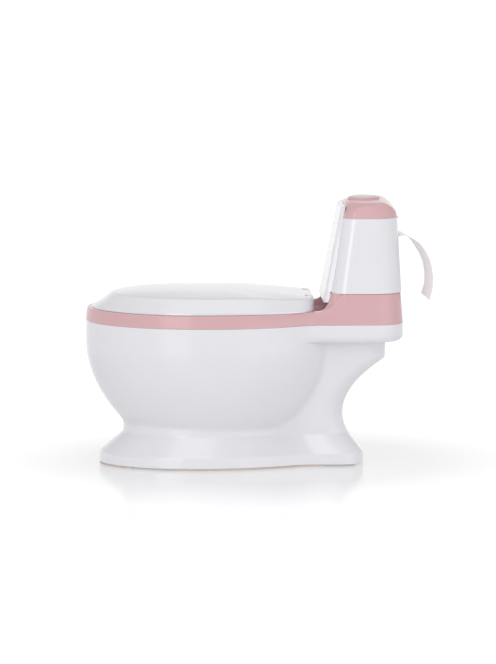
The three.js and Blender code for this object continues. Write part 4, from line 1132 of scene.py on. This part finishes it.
def studio_world():
    """White all round for the camera. As a light it is brighter near the horizon."""
    world = bpy.data.worlds.new("studio")
    bpy.context.scene.world = world
    world.use_nodes = True
    nodes, links = world.node_tree.nodes, world.node_tree.links
    nodes["Background"].inputs["Color"].default_value = (1, 1, 1, 1)
    place = nodes.new("ShaderNodeTexCoord")
    split = nodes.new("ShaderNodeSeparateXYZ")
    links.new(place.outputs["Generated"], split.inputs["Vector"])
    fade = mapped(nodes, links, split.outputs["Z"], 0.2, 0.4, 1.01, 0.55)
    camera_only(nodes, links, nodes["Background"].inputs["Strength"], 1.05, fade)


def area_light(name, place, aim, size, radiance, glossy_only=False):
    """A rectangular light of even brightness. Radiance 1 is as bright as a white page."""
    light = bpy.data.lights.new(name, "AREA")
    light.shape = "RECTANGLE"
    light.size, light.size_y = size
    light.energy = radiance * math.pi * size[0] * size[1]
    lamp = bpy.data.objects.new(name, light)
    lamp.location = place
    lamp.rotation_euler = (Vector(aim) - lamp.location).to_track_quat("-Z", "Y").to_euler()
    lamp.visible_diffuse = not glossy_only
    bpy.context.scene.collection.objects.link(lamp)


def softbox(name, azimuths, heights, radiance, glossy_only=False):
    """An upright light between two azimuths. Azimuth 0 is +X, turning towards +Y."""
    distance = 2.6
    turn = math.radians(sum(azimuths) / 2)
    width = 2 * distance * math.tan(math.radians(azimuths[1] - azimuths[0]) / 2)
    height = sum(heights) / 2
    place = (distance * math.cos(turn), distance * math.sin(turn), height)
    area_light(name, place, (0, 0, height), (width, heights[1] - heights[0]), radiance, glossy_only)


def camera():
    """Sees the chair from its right side, slightly from above and from the front."""
    view = bpy.data.cameras.new("camera")
    distance = 8.3
    picture_height = 0.775  # height of the view at the chair's middle
    view.lens = view.sensor_width * distance / picture_height
    view.clip_end = 100
    eye = bpy.data.objects.new("camera", view)
    target = Vector((0, -0.0134, 0.152))
    elevation, yaw = math.radians(6.2), math.radians(2.0)
    level = math.cos(elevation)
    direction = Vector((level * math.cos(yaw), -level * math.sin(yaw), math.sin(elevation)))
    eye.location = target + direction * distance
    eye.rotation_euler = (-direction).to_track_quat("-Z", "Y").to_euler()
    bpy.context.scene.collection.objects.link(eye)
    bpy.context.scene.camera = eye


studio_floor()
studio_world()
softbox("softbox_front", (-42, -15), (0.02, 1.4), 0.5)
softbox("softbox_rear", (25, 66), (0.02, 1.4), 0.18)
softbox("reflection_front", (-38, -14), (0.15, 1.3), 2.5, glossy_only=True)
softbox("reflection_rear", (25, 70), (0.15, 0.45), 1.5, glossy_only=True)
softbox("fill_camera_side", (-14, 24), (0.9, 2.0), 1.2)
area_light("overhead", (0, 0, 2.4), (0, 0, 0.2), (1.6, 1.6), 0.655)
area_light("overhead_camera_side", (1.6, -0.4, 1.8), (0, 0, 0.2), (1.4, 1.4), 1.45)
camera()
bpy.context.scene.view_settings.view_transform = "Standard"
